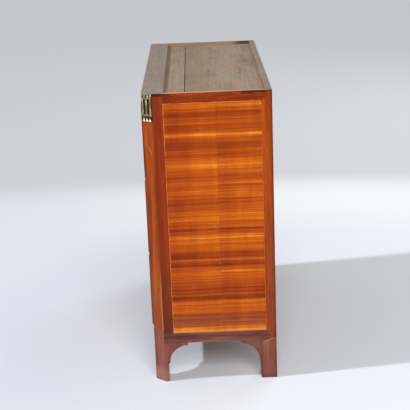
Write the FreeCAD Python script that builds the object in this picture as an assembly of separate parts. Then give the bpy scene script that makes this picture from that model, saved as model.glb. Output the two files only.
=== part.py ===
import FreeCAD
import Part
import math
import os

from FreeCAD import Vector

# A secretary chest: three rows of drawers between canted corner posts. The top row is a writing
# drawer whose front falls forward on end pivots. X runs across the front, Y from front to back, Z up.
# Sizes are in millimetres. "Depth" below means the distance behind the carcass front.

# Carcass, outside sizes
WIDTH = 1050.0
DEPTH = 432.0
HEIGHT = 1044.0

# Corner posts, side boards and the veneer laid over them
CANT_X = 28.0
CANT_Y = 35.0
POST_X = 50.0
FRONT_POST_Y = 47.0
REAR_POST_Y = 55.0
SIDE_BOARD = 18.8
VENEER = 1.2
TENON = 18.0
TENON_LENGTH = 25.0

# Base: feet, rails and stepped brackets
ARCH_Z = 148.0
BASE_RAIL = 38.0
FRONT_BASE_RAIL = 52.0
FRONT_FOOT_RISE = 49.0
RAIL_THICK = 20.0
BRACKET_THICK = 20.0
BRACKET_SPAN = 66.0
REAR_BRACKET_SPAN = 70.0
BRACKET_RISE = 62.0
BRACKET_TOP_STEP = 10.0
BRACKET_FOOT_STEP = 6.0

# Veneer pattern on the sides
BANDING = 34.0
STRINGING = 2.0
FRONT_LEAF = 173.0
TIP_FROM_BACK = 14.0
TIP_RISE = 9.0
TIP_NOTCH = 18.0

# Top frame and its sunk boards
TOP_FRAME = 42.0
TOP_FRONT_RAIL = 72.0
TOP_CORNER = 3.0
TOP_REAR_RAIL = 21.0
TOP_RECESS = 12.0
TOP_BOARD = 16.0
TOP_LEDGE = 8.0
SIDE_LIP = 12.0
FRONT_TOP_BOARD = 70.0
TOP_BOARD_GAP = 2.5

# Inside of the carcass
ROWS = 3
DIVIDER = 14.0
GUIDE_RISE = 16.0
BACK_BOARD = 11.0
BACK_INSET = 1.0
BACK_BOARDS = 3
BACK_BEVEL = 2.0

# Drawer fronts and plain drawers
FRONT_PROUD = 4.0
FRONT_THICK = 20.0
FRONT_GAP_X = 1.5
FRONT_GAP_Z = 1.25
DRAWER_SIDE = 12.0
DRAWER_BACK = 10.0
DRAWER_BOTTOM = 7.0
BOTTOM_RAISE = 6.0
SIDE_DROP = 14.0
BACK_DROP = 8.0
RUN_GAP = 0.3
REAR_CLEAR = 16.0

# Secretary drawer and the case inside it
SEC_SIDE = 15.0
SEC_FLOOR = 12.0
SEC_TOP_GAP = 4.0
SEC_BACK = 10.0
SEC_BACK_DROP = 10.0
CASE_DEPTH = 190.0
CASE_BOARD = 7.0
CASE_TOP_GAP = 3.0
SMALL_ROW = 80.0
SMALL_DRAWERS = 3
SMALL_GAP = 0.8
SMALL_FRONT = 10.0
SMALL_WALL = 6.0
SMALL_BOTTOM = 4.0
SMALL_DROP = 8.0
SMALL_REAR_CLEAR = 10.0
KNOB_RADIUS = 7.0
KNOB_NECK = 3.2
KNOB_REACH = 15.0
KNOB_FOOT = 2.0
KNOB_CROWN = 1.0
PIGEONHOLES = 4
SCOOP = 22.0
VALANCE_THICK = 5.0
VALANCE_DROP = 22.0
VALANCE_CROWN = 9.0
VALANCE_SETBACK = 24.0

# Writing leaf, its leather and its end pivots
LEAF_PLAY = 0.8
LEAF_FLOOR_GAP = 0.6
LEATHER = 1.2
LEATHER_BORDER_X = 52.0
LEATHER_BELOW = 25.0
LEATHER_ABOVE = 58.0
PIVOT_PIN = 3.0
PIVOT_PLAY = 0.05
PIVOT_LENGTH = 8.0
PIVOT_PLATE = 3.0
PIVOT_PLATE_WIDTH = 17.0
PIVOT_PLATE_LENGTH = 45.0
LUG_RADIUS = 1.4
LUG_ARM = 6.0
LUG_LENGTH = 3.0
LUG_PLAY = 0.4
LEAF_OPENS = 90.0
SOCKET_RADIUS = 9.0
SOCKET_DEPTH = 10.0

# Locks
LOCK_WIDTH = 60.0
LOCK_HEIGHT = 46.0
LOCK_THICK = 11.0
BOLT_WIDTH = 20.0
BOLT_THICK = 4.0
BOLT_HEIGHT = 32.0
BOLT_SINK = 0.2
BOLT_TRAVEL = 7.0
BOLT_PLAY = 0.3
MORTISE_PLAY = 0.8
KEY_DROP = 31.0
KEY_RADIUS = 2.8
KEY_SLOT = 2.6
KEY_TAIL = 9.0

# Keyhole plates and ring pulls
SCUTCHEON_RADIUS = 15.0
SCUTCHEON_THICK = 1.6
SCUTCHEON_RIM = 2.4
PULL_SPREAD = 215.0
ROSETTE_RADIUS = 26.0
ROSETTE_THICK = 3.0
ROSETTE_RIM = 5.0
ROSETTE_FIELD = 1.4
ROSETTE_BOSS = 9.0
RING_RADIUS = 21.0
RING_WIRE = 2.4
RING_OUT = 6.2
EYE_RADIUS = 4.7
EYE_WIDTH = 4.4
EYE_PLAY = 0.5

# Gilt mounts on the canted corners
MOUNT_HALF = 21.5
MOUNT_PLATE = 2.0
MOUNT_CAPITAL = 14.0
MOUNT_FILLET = 4.0
MOUNT_FILLET_PROUD = 4.0
MOUNT_REEDS = 54.0
MOUNT_BAND = 8.5
MOUNT_BAND_PROUD = 3.0
MOUNT_DROPS = 14.0
MOUNT_LEAVES = 4
MOUNT_LEAF_PITCH = 13.0
MOUNT_LEAF_RADIUS = 5.2
MOUNT_BARS = 3
MOUNT_REED_PITCH = 16.2
MOUNT_REED_RADIUS = 4.4
MOUNT_DROP_PITCH = 13.2
MOUNT_DROP_RADIUS = 6.0
MOUNT_DROP_NECK = 2.0

# Places worked out from the sizes above
HALF = WIDTH / 2
FRONT_REACH = FRONT_PROUD + RING_OUT + EYE_RADIUS
FRONT_Y = (FRONT_REACH - DEPTH) / 2
OPENING = HALF - POST_X
BOARD_INSIDE = VENEER + SIDE_BOARD
BASE_TOP = ARCH_Z + BASE_RAIL
FOOT_TOP = ARCH_Z + FRONT_FOOT_RISE
FIRST_FLOOR = ARCH_Z + FRONT_BASE_RAIL
FRAME_UNDER = HEIGHT - TOP_FRAME
TOP_FACE = HEIGHT - TOP_RECESS
TOP_UNDER = TOP_FACE - TOP_BOARD
ROW_HEIGHT = (FRAME_UNDER - FIRST_FLOOR - (ROWS - 1) * DIVIDER) / ROWS
REAR_POST_AT = DEPTH - REAR_POST_Y
REAR_RAIL_AT = DEPTH - TOP_REAR_RAIL
BACK_FACE = DEPTH - BACK_INSET - BACK_BOARD
DRAWER_END = BACK_FACE - REAR_CLEAR
FRONT_BACK = FRONT_THICK - FRONT_PROUD
FRONT_HALF = OPENING - FRONT_GAP_X
SEC_INSIDE = FRONT_HALF - SEC_SIDE
LEAF_HALF = SEC_INSIDE - LEAF_PLAY
SEC_FLOOR_Z = FIRST_FLOOR + (ROWS - 1) * (ROW_HEIGHT + DIVIDER)
LEAF_ROUND = FRONT_THICK / 2
PIVOT_DEPTH = LEAF_ROUND - FRONT_PROUD
PIVOT_Z = SEC_FLOOR_Z + FRONT_GAP_Z + LEAF_ROUND
WRITING_Z = PIVOT_Z + LEAF_ROUND
LEAF_TOP = FRAME_UNDER - FRONT_GAP_Z
CASE_BACK = DRAWER_END - SEC_BACK
CASE_FRONT = CASE_BACK - CASE_DEPTH
SHELF_Z = WRITING_Z + SMALL_ROW
CASE_TOP = FRAME_UNDER - SEC_TOP_GAP - CASE_TOP_GAP
BOLT_DEPTH = FRONT_BACK - LOCK_THICK / 2
RING_PIVOT_DEPTH = -FRONT_PROUD - RING_OUT

# The ground under the canted veneer: where it meets the front and the veneered side
CANT_GROUND = 1 + VENEER * math.hypot(1 / CANT_X, 1 / CANT_Y)
CANT_FRONT_IN = CANT_X * CANT_GROUND
CANT_SIDE_AT = CANT_Y * (CANT_GROUND - VENEER / CANT_X)


def on_plan(x, depth):
    return Vector(x, FRONT_Y + depth, 0)


def on_side(depth, z):
    return Vector(0, FRONT_Y + depth, z)


def on_front(x, z):
    return Vector(x, FRONT_Y, z)


def outline(place, start, *moves):
    """Closed face from straight runs and arcs. A move is a point, or a pair (through, end) for an arc."""
    edges = []
    here = start
    for move in moves:
        if isinstance(move[0], tuple):
            through, end = move
            edges.append(Part.Arc(place(*here), place(*through), place(*end)).toShape())
        else:
            end = move
            edges.append(Part.LineSegment(place(*here), place(*end)).toShape())
        here = end
    if here != start:
        edges.append(Part.LineSegment(place(*here), place(*start)).toShape())
    return Part.Face(Part.Wire(edges))


def plan_prism(z0, z1, start, *moves):
    """Outline on the plan (x, depth), raised from z0 to z1."""
    face = outline(on_plan, start, *moves)
    face.translate(Vector(0, 0, z0))
    return face.extrude(Vector(0, 0, z1 - z0))


def side_prism(x0, x1, start, *moves):
    """Outline on the side view (depth, z), carried from x0 to x1."""
    face = outline(on_side, start, *moves)
    face.translate(Vector(x0, 0, 0))
    return face.extrude(Vector(x1 - x0, 0, 0))


def front_prism(depth0, depth1, start, *moves):
    """Outline on the front view (x, z), carried from depth0 to depth1."""
    face = outline(on_front, start, *moves)
    face.translate(Vector(0, depth0, 0))
    return face.extrude(Vector(0, depth1 - depth0, 0))


def board(x0, x1, depth0, depth1, z0, z1):
    corner = Vector(x0, FRONT_Y + depth0, z0)
    return Part.makeBox(x1 - x0, depth1 - depth0, z1 - z0, corner)


def rod_x(radius, x0, x1, depth, z):
    return Part.makeCylinder(radius, x1 - x0, Vector(x0, FRONT_Y + depth, z), Vector(1, 0, 0))


def rod_y(radius, depth0, depth1, x, z):
    start = Vector(x, FRONT_Y + depth0, z)
    return Part.makeCylinder(radius, depth1 - depth0, start, Vector(0, 1, 0))


def mirrored(shape):
    return shape.mirror(Vector(0, 0, 0), Vector(1, 0, 0))


def both(shape):
    return [shape, mirrored(shape)]


def row_floor(row):
    return FIRST_FLOOR + row * (ROW_HEIGHT + DIVIDER)


# Posts, feet and boards of the sides


def post_tenon(depth0, depth1, z):
    """Square tenon under a post, centred on its section."""
    x = HALF - POST_X / 2
    depth = (depth0 + depth1) / 2
    half = TENON / 2
    return board(x - half, x + half, depth - half, depth + half, z - TENON_LENGTH, z)


def front_post():
    """Right front post: a canted section set in by the veneer on the cant and the side."""
    post = plan_prism(
        FOOT_TOP,
        FRAME_UNDER,
        (HALF - POST_X, 0),
        (HALF - CANT_FRONT_IN, 0),
        (HALF - VENEER, CANT_SIDE_AT),
        (HALF - VENEER, FRONT_POST_Y),
        (HALF - POST_X, FRONT_POST_Y),
    )
    return post.fuse(post_tenon(0, FRONT_POST_Y, FOOT_TOP))


def front_foot():
    """Right front foot: full section below the arch, then set in on the side behind the rail banding."""
    inner = (HALF - POST_X, 0)
    nose = (HALF - CANT_X, 0)
    heel = (HALF - POST_X, FRONT_POST_Y)
    foot = plan_prism(0, ARCH_Z, inner, nose, (HALF, CANT_Y), (HALF, FRONT_POST_Y), heel)
    knee = plan_prism(
        ARCH_Z,
        FOOT_TOP,
        inner,
        nose,
        (HALF, CANT_Y),
        (HALF - VENEER, CANT_SIDE_AT),
        (HALF - VENEER, FRONT_POST_Y),
        heel,
    )
    return foot.fuse(knee).removeSplitter().cut(post_tenon(0, FRONT_POST_Y, FOOT_TOP))


def rear_post():
    post = board(HALF - POST_X, HALF - VENEER, REAR_POST_AT, DEPTH, BASE_TOP, FRAME_UNDER)
    return post.fuse(post_tenon(REAR_POST_AT, DEPTH, BASE_TOP))


def tip_height():
    return ARCH_Z + TIP_RISE


def rear_foot():
    """Right rear foot, with the pointed facing that the base rail's banding is cut to."""
    block = board(HALF - POST_X, HALF - VENEER, REAR_POST_AT, DEPTH, 0, BASE_TOP)
    facing = side_prism(
        HALF - VENEER,
        HALF,
        (REAR_POST_AT, 0),
        (DEPTH, 0),
        (DEPTH, tip_height()),
        (DEPTH - TIP_FROM_BACK, tip_height()),
        (DEPTH - TIP_FROM_BACK - TIP_NOTCH, ARCH_Z),
        (REAR_POST_AT, ARCH_Z),
    )
    return block.fuse(facing).cut(post_tenon(REAR_POST_AT, DEPTH, BASE_TOP))


def side_board():
    """Right side board, rebated at the top to carry the ends of the sunk boards."""
    inside = HALF - BOARD_INSIDE
    outside = HALF - VENEER
    lower = board(inside, outside, FRONT_POST_Y, REAR_POST_AT, BASE_TOP, FRAME_UNDER)
    upper = board(inside, outside, TOP_FRONT_RAIL, REAR_RAIL_AT, FRAME_UNDER, HEIGHT)
    rebate = board(inside, HALF - SIDE_LIP, TOP_FRONT_RAIL, REAR_RAIL_AT, TOP_UNDER, HEIGHT)
    return lower.fuse(upper).removeSplitter().cut(rebate)


def bracket_moves(edge, way, span):
    """Stepped bracket beside a foot whose inner edge is at edge; way is +1 or -1 along the rail."""
    spring = edge + way * BRACKET_FOOT_STEP
    reach = spring + way * span
    top = ARCH_Z - BRACKET_TOP_STEP
    centre = top - BRACKET_RISE
    slant = math.sqrt(0.5)
    arc = ((reach - way * span * slant, centre + BRACKET_RISE * slant), (spring, centre))
    return (
        (edge, ARCH_Z),
        (reach, ARCH_Z),
        (reach, top),
        arc,
        (spring, centre - BRACKET_FOOT_STEP),
        (edge, centre - BRACKET_FOOT_STEP),
    )


def foot_brackets():
    """Two brackets under each side and two under the front."""
    x0 = HALF - BRACKET_THICK
    front = side_prism(x0, HALF, *bracket_moves(FRONT_POST_Y, 1, BRACKET_SPAN))
    rear = side_prism(x0, HALF, *bracket_moves(REAR_POST_AT, -1, REAR_BRACKET_SPAN))
    face = front_prism(0, BRACKET_THICK, *bracket_moves(OPENING, -1, BRACKET_SPAN))
    return both(front) + both(rear) + both(face)


def base_rails():
    """Side rails under the side boards, and the rail under the back."""
    side = board(HALF - BOARD_INSIDE, HALF - VENEER, FRONT_POST_Y, REAR_POST_AT, ARCH_Z, BASE_TOP)
    rear_depth = DEPTH - BACK_INSET
    rear = board(-OPENING, OPENING, rear_depth - RAIL_THICK, rear_depth, ARCH_Z, BASE_TOP)
    return both(side) + [rear]


def front_base_rail():
    return board(-OPENING, OPENING, 0, RAIL_THICK, ARCH_Z, FIRST_FLOOR)


# Veneers on the sides and corners


def corner_veneer():
    return plan_prism(
        FOOT_TOP,
        HEIGHT - TOP_CORNER,
        (HALF - CANT_X, 0),
        (HALF, CANT_Y),
        (HALF - VENEER, CANT_SIDE_AT),
        (HALF - CANT_FRONT_IN, 0),
    )


def field_edges():
    """Depths of the two stiles' inner edges."""
    return CANT_Y + BANDING, DEPTH - BANDING


def banding():
    """Right side: front stile, rear stile, top rail and base rail, with mitres at the base."""
    near, far = field_edges()
    skin = HALF - VENEER
    tip = (DEPTH - TIP_FROM_BACK, tip_height())
    stile = plan_prism(
        ARCH_Z,
        HEIGHT,
        (HALF, CANT_Y),
        (HALF, near),
        (skin, near),
        (skin, CANT_SIDE_AT),
    )
    mitre = side_prism(skin, HALF, (CANT_Y, ARCH_Z), (near, ARCH_Z), (near, BASE_TOP))
    front_stile = stile.cut(mitre)
    rear_stile = side_prism(
        skin,
        HALF,
        (far, BASE_TOP),
        tip,
        (DEPTH, tip_height()),
        (DEPTH, HEIGHT),
        (far, HEIGHT),
    )
    top_rail = board(skin, HALF, near, far, HEIGHT - BANDING, HEIGHT)
    base_rail = side_prism(
        skin,
        HALF,
        (CANT_SIDE_AT, ARCH_Z + (CANT_SIDE_AT - CANT_Y) * BASE_RAIL / BANDING),
        (near, BASE_TOP),
        (far, BASE_TOP),
        tip,
        (tip[0] - TIP_NOTCH, ARCH_Z),
        (CANT_SIDE_AT, ARCH_Z),
    )
    return [front_stile, rear_stile, top_rail, base_rail]


def stringing():
    """Light lines between the right side's field and its banding."""
    near, far = field_edges()
    skin = HALF - VENEER
    low = BASE_TOP
    high = HEIGHT - BANDING
    return [
        board(skin, HALF, near, near + STRINGING, low, high),
        board(skin, HALF, far - STRINGING, far, low, high),
        board(skin, HALF, near + STRINGING, far - STRINGING, low, low + STRINGING),
        board(skin, HALF, near + STRINGING, far - STRINGING, high - STRINGING, high),
    ]


def field_veneer():
    """The right side's field, in two leaves that meet on an upright seam."""
    near, far = field_edges()
    start = near + STRINGING
    seam = start + FRONT_LEAF
    low = BASE_TOP + STRINGING
    high = HEIGHT - BANDING - STRINGING
    front_leaf = board(HALF - VENEER, HALF, start, seam, low, high)
    rear_leaf = board(HALF - VENEER, HALF, seam, far - STRINGING, low, high)
    return [front_leaf, rear_leaf]


# Top frame


def bolt_mortise(under):
    """Slot in the rail above a lock, for its bolt."""
    half = BOLT_WIDTH / 2 + MORTISE_PLAY
    thick = BOLT_THICK / 2 + MORTISE_PLAY
    rise = BOLT_TRAVEL - FRONT_GAP_Z + MORTISE_PLAY
    return board(-half, half, BOLT_DEPTH - thick, BOLT_DEPTH + thick, under, under + rise)


def front_top_rail():
    """Wide front rail of the top, canted below its thin square corners, with a ledge for the boards."""
    nose = HALF - CANT_FRONT_IN
    end = HALF - VENEER
    rail = plan_prism(
        FRAME_UNDER,
        HEIGHT - TOP_CORNER,
        (-nose, 0),
        (nose, 0),
        (end, CANT_SIDE_AT),
        (end, TOP_FRONT_RAIL),
        (-end, TOP_FRONT_RAIL),
        (-end, CANT_SIDE_AT),
    )
    face = plan_prism(
        HEIGHT - TOP_CORNER,
        HEIGHT,
        (-HALF, 0),
        (HALF, 0),
        (HALF, CANT_Y),
        (end, CANT_SIDE_AT),
        (end, TOP_FRONT_RAIL),
        (-end, TOP_FRONT_RAIL),
        (-end, CANT_SIDE_AT),
        (-HALF, CANT_Y),
    )
    inside = HALF - BOARD_INSIDE
    ledge_end = TOP_FRONT_RAIL + TOP_LEDGE
    ledge = board(-inside, inside, TOP_FRONT_RAIL, ledge_end, FRAME_UNDER, TOP_UNDER)
    return rail.fuse([face, ledge]).removeSplitter().cut(bolt_mortise(FRAME_UNDER))


def rear_top_rail():
    end = HALF - VENEER
    rail = board(-end, end, REAR_RAIL_AT, DEPTH, FRAME_UNDER, HEIGHT)
    inside = HALF - BOARD_INSIDE
    ledge = board(-inside, inside, REAR_RAIL_AT - TOP_LEDGE, REAR_RAIL_AT, FRAME_UNDER, TOP_UNDER)
    return rail.fuse(ledge).removeSplitter()


def top_boards():
    """The two sunk boards, with the open joint between them."""
    half = HALF - SIDE_LIP
    joint = TOP_FRONT_RAIL + FRONT_TOP_BOARD
    front = board(-half, half, TOP_FRONT_RAIL, joint, TOP_UNDER, TOP_FACE)
    rear = board(-half, half, joint + TOP_BOARD_GAP, REAR_RAIL_AT, TOP_UNDER, TOP_FACE)
    return front, rear


# Inside of the carcass


def bottom_board():
    return board(-OPENING, OPENING, RAIL_THICK, BACK_FACE, FIRST_FLOOR - DIVIDER, FIRST_FLOOR)


def divider(row):
    """Board under a row of drawers, with the mortise for the bolt of the row below."""
    floor = row_floor(row)
    plank = board(-OPENING, OPENING, 0, BACK_FACE, floor - DIVIDER, floor)
    return plank.cut(bolt_mortise(floor - DIVIDER))


def drawer_runners():
    """Runner and guide on each side of every row."""
    strips = []
    for row in range(ROWS):
        floor = row_floor(row)
        strip = board(
            OPENING,
            HALF - BOARD_INSIDE,
            FRONT_POST_Y,
            REAR_POST_AT,
            floor - DIVIDER,
            floor + GUIDE_RISE,
        )
        strips += both(strip)
    return strips


def back_boards():
    """Upright boards between the rear posts, bevelled along their outer edges."""
    step = 2 * OPENING / BACK_BOARDS
    outer = BACK_FACE + BACK_BOARD
    planks = []
    for index in range(BACK_BOARDS):
        x0 = -OPENING + index * step
        x1 = x0 + step
        planks.append(
            plan_prism(
                BASE_TOP,
                FRAME_UNDER,
                (x0, BACK_FACE),
                (x1, BACK_FACE),
                (x1, outer - BACK_BEVEL),
                (x1 - BACK_BEVEL, outer),
                (x0 + BACK_BEVEL, outer),
                (x0, outer - BACK_BEVEL),
            )
        )
    return planks


# Gilt mounts


def spread(count, pitch):
    """Places of a row of like pieces, evenly spaced about the middle."""
    return [(index - (count - 1) / 2) * pitch for index in range(count)]


def corner_mount():
    """Triglyph mount on the right cant: capital with leaves, three reeds, a band and three drops."""
    top = HEIGHT - TOP_CORNER
    capital = top - MOUNT_CAPITAL
    band_top = capital - MOUNT_REEDS
    band = band_top - MOUNT_BAND
    bar = band_top - MOUNT_FILLET
    foot = band - MOUNT_DROPS
    centre_y = -MOUNT_PLATE / 2

    def slab(proud, z0, z1):
        return Part.makeBox(2 * MOUNT_HALF, proud, z1 - z0, Vector(-MOUNT_HALF, -proud, z0))

    pieces = [
        slab(MOUNT_FILLET_PROUD, capital, capital + MOUNT_FILLET),
        slab(MOUNT_FILLET_PROUD, bar, band_top),
        slab(MOUNT_BAND_PROUD, band, bar),
    ]
    for x in spread(MOUNT_LEAVES, MOUNT_LEAF_PITCH):
        leaf = Vector(x, centre_y, top - MOUNT_LEAF_RADIUS)
        pieces.append(Part.makeSphere(MOUNT_LEAF_RADIUS, leaf))
    for x in spread(MOUNT_BARS, MOUNT_REED_PITCH):
        reed = Vector(x, centre_y, band_top)
        pieces.append(Part.makeCylinder(MOUNT_REED_RADIUS, MOUNT_REEDS, reed))
    for x in spread(MOUNT_BARS, MOUNT_DROP_PITCH):
        drop = Vector(x, centre_y, foot)
        pieces.append(Part.makeCone(MOUNT_DROP_RADIUS, MOUNT_DROP_NECK, MOUNT_DROPS, drop))
    front_half = slab(2 * MOUNT_DROP_RADIUS, 0, HEIGHT)
    mount = slab(MOUNT_PLATE, foot, top).fuse(pieces).removeSplitter().common(front_half)
    mount.rotate(Vector(0, 0, 0), Vector(0, 0, 1), math.degrees(math.atan2(CANT_Y, CANT_X)))
    mount.translate(on_plan(HALF - CANT_X / 2, CANT_Y / 2))
    return mount


# Locks, keyholes and pulls


def keyhole(top):
    """Cut through a front from its face to its lock."""
    z = top - KEY_DROP
    face = -FRONT_PROUD - SCUTCHEON_THICK
    lock_face = FRONT_BACK - LOCK_THICK
    hole = rod_y(KEY_RADIUS, face, lock_face, 0, z)
    slot = board(-KEY_SLOT / 2, KEY_SLOT / 2, face, lock_face, z - KEY_TAIL, z)
    return hole.fuse(slot)


def lock_pocket(top):
    half = LOCK_WIDTH / 2
    return board(-half, half, FRONT_BACK - LOCK_THICK, FRONT_BACK, top - LOCK_HEIGHT, top)


def bolt_box(top, play):
    half = BOLT_WIDTH / 2 + play
    thick = BOLT_THICK / 2 + play
    high = top - BOLT_SINK
    return board(-half, half, BOLT_DEPTH - thick, BOLT_DEPTH + thick, high - BOLT_HEIGHT - play, high)


def lock_case(top):
    """Lock case let into a front from behind, open at the top for its bolt."""
    channel = bolt_box(top, BOLT_PLAY)
    mouth = channel.copy()
    mouth.translate(Vector(0, 0, BOLT_HEIGHT / 2))
    return lock_pocket(top).cut([channel, mouth])


def scutcheon(top):
    """Round keyhole plate with a raised rim."""
    z = top - KEY_DROP
    back = -FRONT_PROUD
    face = back - SCUTCHEON_THICK
    rim = rod_y(SCUTCHEON_RADIUS, face, back, 0, z)
    dish = rod_y(SCUTCHEON_RADIUS - SCUTCHEON_RIM, face, back - SCUTCHEON_THICK / 2, 0, z)
    return rim.cut(dish).cut(keyhole(top))


def rosette(x, z):
    """Round pull plate with a moulded rim and a domed boss, and the eye that carries the ring."""
    face = -FRONT_PROUD

    def at(radius, rise):
        return Vector(x + radius, FRONT_Y + face - rise, z)

    rim = ROSETTE_RADIUS - ROSETTE_RIM
    half_rim = ROSETTE_RADIUS - ROSETTE_RIM / 2
    dome_rise = ROSETTE_THICK - ROSETTE_FIELD
    dome = (ROSETTE_BOSS**2 + dome_rise**2) / (2 * dome_rise)
    half_way = ROSETTE_THICK - dome + math.sqrt(dome**2 - ROSETTE_BOSS**2 / 4)
    section = outline(
        at,
        (0, 0),
        (ROSETTE_RADIUS, 0),
        (ROSETTE_RADIUS, ROSETTE_FIELD),
        ((half_rim, ROSETTE_THICK), (rim, ROSETTE_FIELD)),
        (ROSETTE_BOSS, ROSETTE_FIELD),
        ((ROSETTE_BOSS / 2, half_way), (0, ROSETTE_THICK)),
    )
    plate = section.revolve(Vector(x, FRONT_Y, z), Vector(0, 1, 0), 360)
    pivot = z + RING_RADIUS
    left = x - EYE_WIDTH / 2
    right = x + EYE_WIDTH / 2
    stem = board(left, right, RING_PIVOT_DEPTH, face, pivot - EYE_RADIUS, pivot + EYE_RADIUS)
    eye = rod_x(EYE_RADIUS, left, right, RING_PIVOT_DEPTH, pivot)
    bore = rod_x(RING_WIRE + EYE_PLAY, left - EYE_WIDTH, right + EYE_WIDTH, RING_PIVOT_DEPTH, pivot)
    return plate.fuse([stem, eye]).removeSplitter().cut(bore)


def ring(x, z):
    """Ring that hangs in the eye."""
    centre = Vector(x, FRONT_Y + RING_PIVOT_DEPTH, z)
    return Part.makeTorus(RING_RADIUS, RING_WIRE, centre, Vector(0, 1, 0))


# Drawers


def front_span(row):
    """Lowest and highest point of a row's front."""
    floor = row_floor(row)
    return floor + FRONT_GAP_Z, floor + ROW_HEIGHT - FRONT_GAP_Z


def pull_height(row):
    return row_floor(row) + ROW_HEIGHT / 2


def brasses(row):
    """Two pull plates and a keyhole plate."""
    high = front_span(row)[1]
    z = pull_height(row)
    return [rosette(-PULL_SPREAD, z), rosette(PULL_SPREAD, z), scutcheon(high)]


def plain_front(row):
    low, high = front_span(row)
    front = board(-FRONT_HALF, FRONT_HALF, -FRONT_PROUD, FRONT_BACK, low, high)
    return front.cut([lock_pocket(high), keyhole(high)])


def plain_box(row):
    """Sides, back and bottom of a plain drawer."""
    low = row_floor(row) + RUN_GAP
    high = front_span(row)[1] - SIDE_DROP
    inside = FRONT_HALF - DRAWER_SIDE
    back_at = DRAWER_END - DRAWER_BACK
    panel = low + BOTTOM_RAISE
    side = board(inside, FRONT_HALF, FRONT_BACK, DRAWER_END, low, high)
    back = board(-inside, inside, back_at, DRAWER_END, panel, high - BACK_DROP)
    bottom = board(-inside, inside, FRONT_BACK, back_at, panel, panel + DRAWER_BOTTOM)
    return both(side) + [back, bottom]


def secretary_side():
    """Right side of the secretary drawer, bored for the leaf's pivot socket."""
    side = board(
        SEC_INSIDE,
        FRONT_HALF,
        -FRONT_PROUD,
        DRAWER_END,
        SEC_FLOOR_Z + RUN_GAP,
        FRAME_UNDER - SEC_TOP_GAP,
    )
    seat = rod_x(SOCKET_RADIUS, SEC_INSIDE, SEC_INSIDE + SOCKET_DEPTH, PIVOT_DEPTH, PIVOT_Z)
    return side.cut(seat)


def secretary_box():
    """Sides and back of the secretary drawer."""
    low = SEC_FLOOR_Z + RUN_GAP
    high = FRAME_UNDER - SEC_TOP_GAP - SEC_BACK_DROP
    back = board(-SEC_INSIDE, SEC_INSIDE, CASE_BACK, DRAWER_END, low, high)
    return both(secretary_side()) + [back]


def secretary_floor():
    front = FRONT_BACK + LEAF_FLOOR_GAP
    return board(-SEC_INSIDE, SEC_INSIDE, front, CASE_BACK, WRITING_Z - SEC_FLOOR, WRITING_Z)


def pivot_socket():
    """Brass socket in the right side: a bore for the pin and a curved slot that stops the lug."""
    body = rod_x(SOCKET_RADIUS, SEC_INSIDE, SEC_INSIDE + SOCKET_DEPTH, PIVOT_DEPTH, PIVOT_Z)
    bore_end = SEC_INSIDE + PIVOT_LENGTH
    bore = rod_x(PIVOT_PIN + PIVOT_PLAY, SEC_INSIDE, bore_end, PIVOT_DEPTH, PIVOT_Z)
    spare = (LUG_RADIUS + LUG_PLAY) / LUG_ARM
    first = -spare
    last = math.radians(LEAF_OPENS) + spare
    middle = (first + last) / 2
    inner = LUG_ARM - LUG_RADIUS - LUG_PLAY
    outer = LUG_ARM + LUG_RADIUS + LUG_PLAY

    def at(radius, angle):
        return PIVOT_DEPTH + radius * math.cos(angle), PIVOT_Z + radius * math.sin(angle)

    slot = side_prism(
        SEC_INSIDE,
        SEC_INSIDE + LUG_LENGTH,
        at(inner, first),
        at(outer, first),
        (at(outer, middle), at(outer, last)),
        at(inner, last),
        (at(inner, middle), at(inner, first)),
    )
    return body.cut([bore, slot])


def case_cells(count):
    """Left and right edges of equal cells across the secretary drawer, with boards between them."""
    width = (2 * SEC_INSIDE - (count - 1) * CASE_BOARD) / count
    edges = []
    for index in range(count):
        left = -SEC_INSIDE + index * (width + CASE_BOARD)
        edges.append((left, left + width))
    return edges


def pigeonhole_case():
    """Shelf, top, partitions and valances of the case on the secretary drawer's floor."""
    shelf_top = SHELF_Z + CASE_BOARD
    ceiling = CASE_TOP - CASE_BOARD
    shelf = board(-SEC_INSIDE, SEC_INSIDE, CASE_FRONT, CASE_BACK, SHELF_Z, shelf_top)
    lid = board(-SEC_INSIDE, SEC_INSIDE, CASE_FRONT, CASE_BACK, ceiling, CASE_TOP)
    pieces = [shelf, lid]
    for left, _ in case_cells(SMALL_DRAWERS)[1:]:
        pieces.append(board(left - CASE_BOARD, left, CASE_FRONT, CASE_BACK, WRITING_Z, SHELF_Z))
    middle = (shelf_top + ceiling) / 2
    for left, _ in case_cells(PIGEONHOLES)[1:]:
        scoop = ((CASE_FRONT + SCOOP, middle), (CASE_FRONT, shelf_top))
        wall = (CASE_FRONT, ceiling), scoop, (CASE_BACK, shelf_top), (CASE_BACK, ceiling)
        pieces.append(side_prism(left - CASE_BOARD, left, *wall))
    depth = CASE_FRONT + VALANCE_SETBACK
    for left, right in case_cells(PIGEONHOLES):
        crown = ((left + right) / 2, ceiling - VALANCE_CROWN)
        arch = (crown, (left, ceiling - VALANCE_DROP))
        edge = (left, ceiling), (right, ceiling), (right, ceiling - VALANCE_DROP), arch
        pieces.append(front_prism(depth, depth + VALANCE_THICK, *edge))
    return pieces


def small_knob(x, z):
    """Turned knob: foot, neck and rounded head."""
    reach = KNOB_REACH
    neck = KNOB_NECK
    head = reach - KNOB_RADIUS

    def at(radius, rise):
        return Vector(x + radius, FRONT_Y + CASE_FRONT - rise, z)

    section = outline(
        at,
        (0, 0),
        (neck + KNOB_FOOT, 0),
        (neck, KNOB_FOOT),
        (neck, head),
        ((KNOB_RADIUS, head + KNOB_RADIUS / 2), (neck, reach - KNOB_CROWN)),
        (0, reach),
    )
    return section.revolve(Vector(x, FRONT_Y, z), Vector(0, 1, 0), 360)


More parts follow.
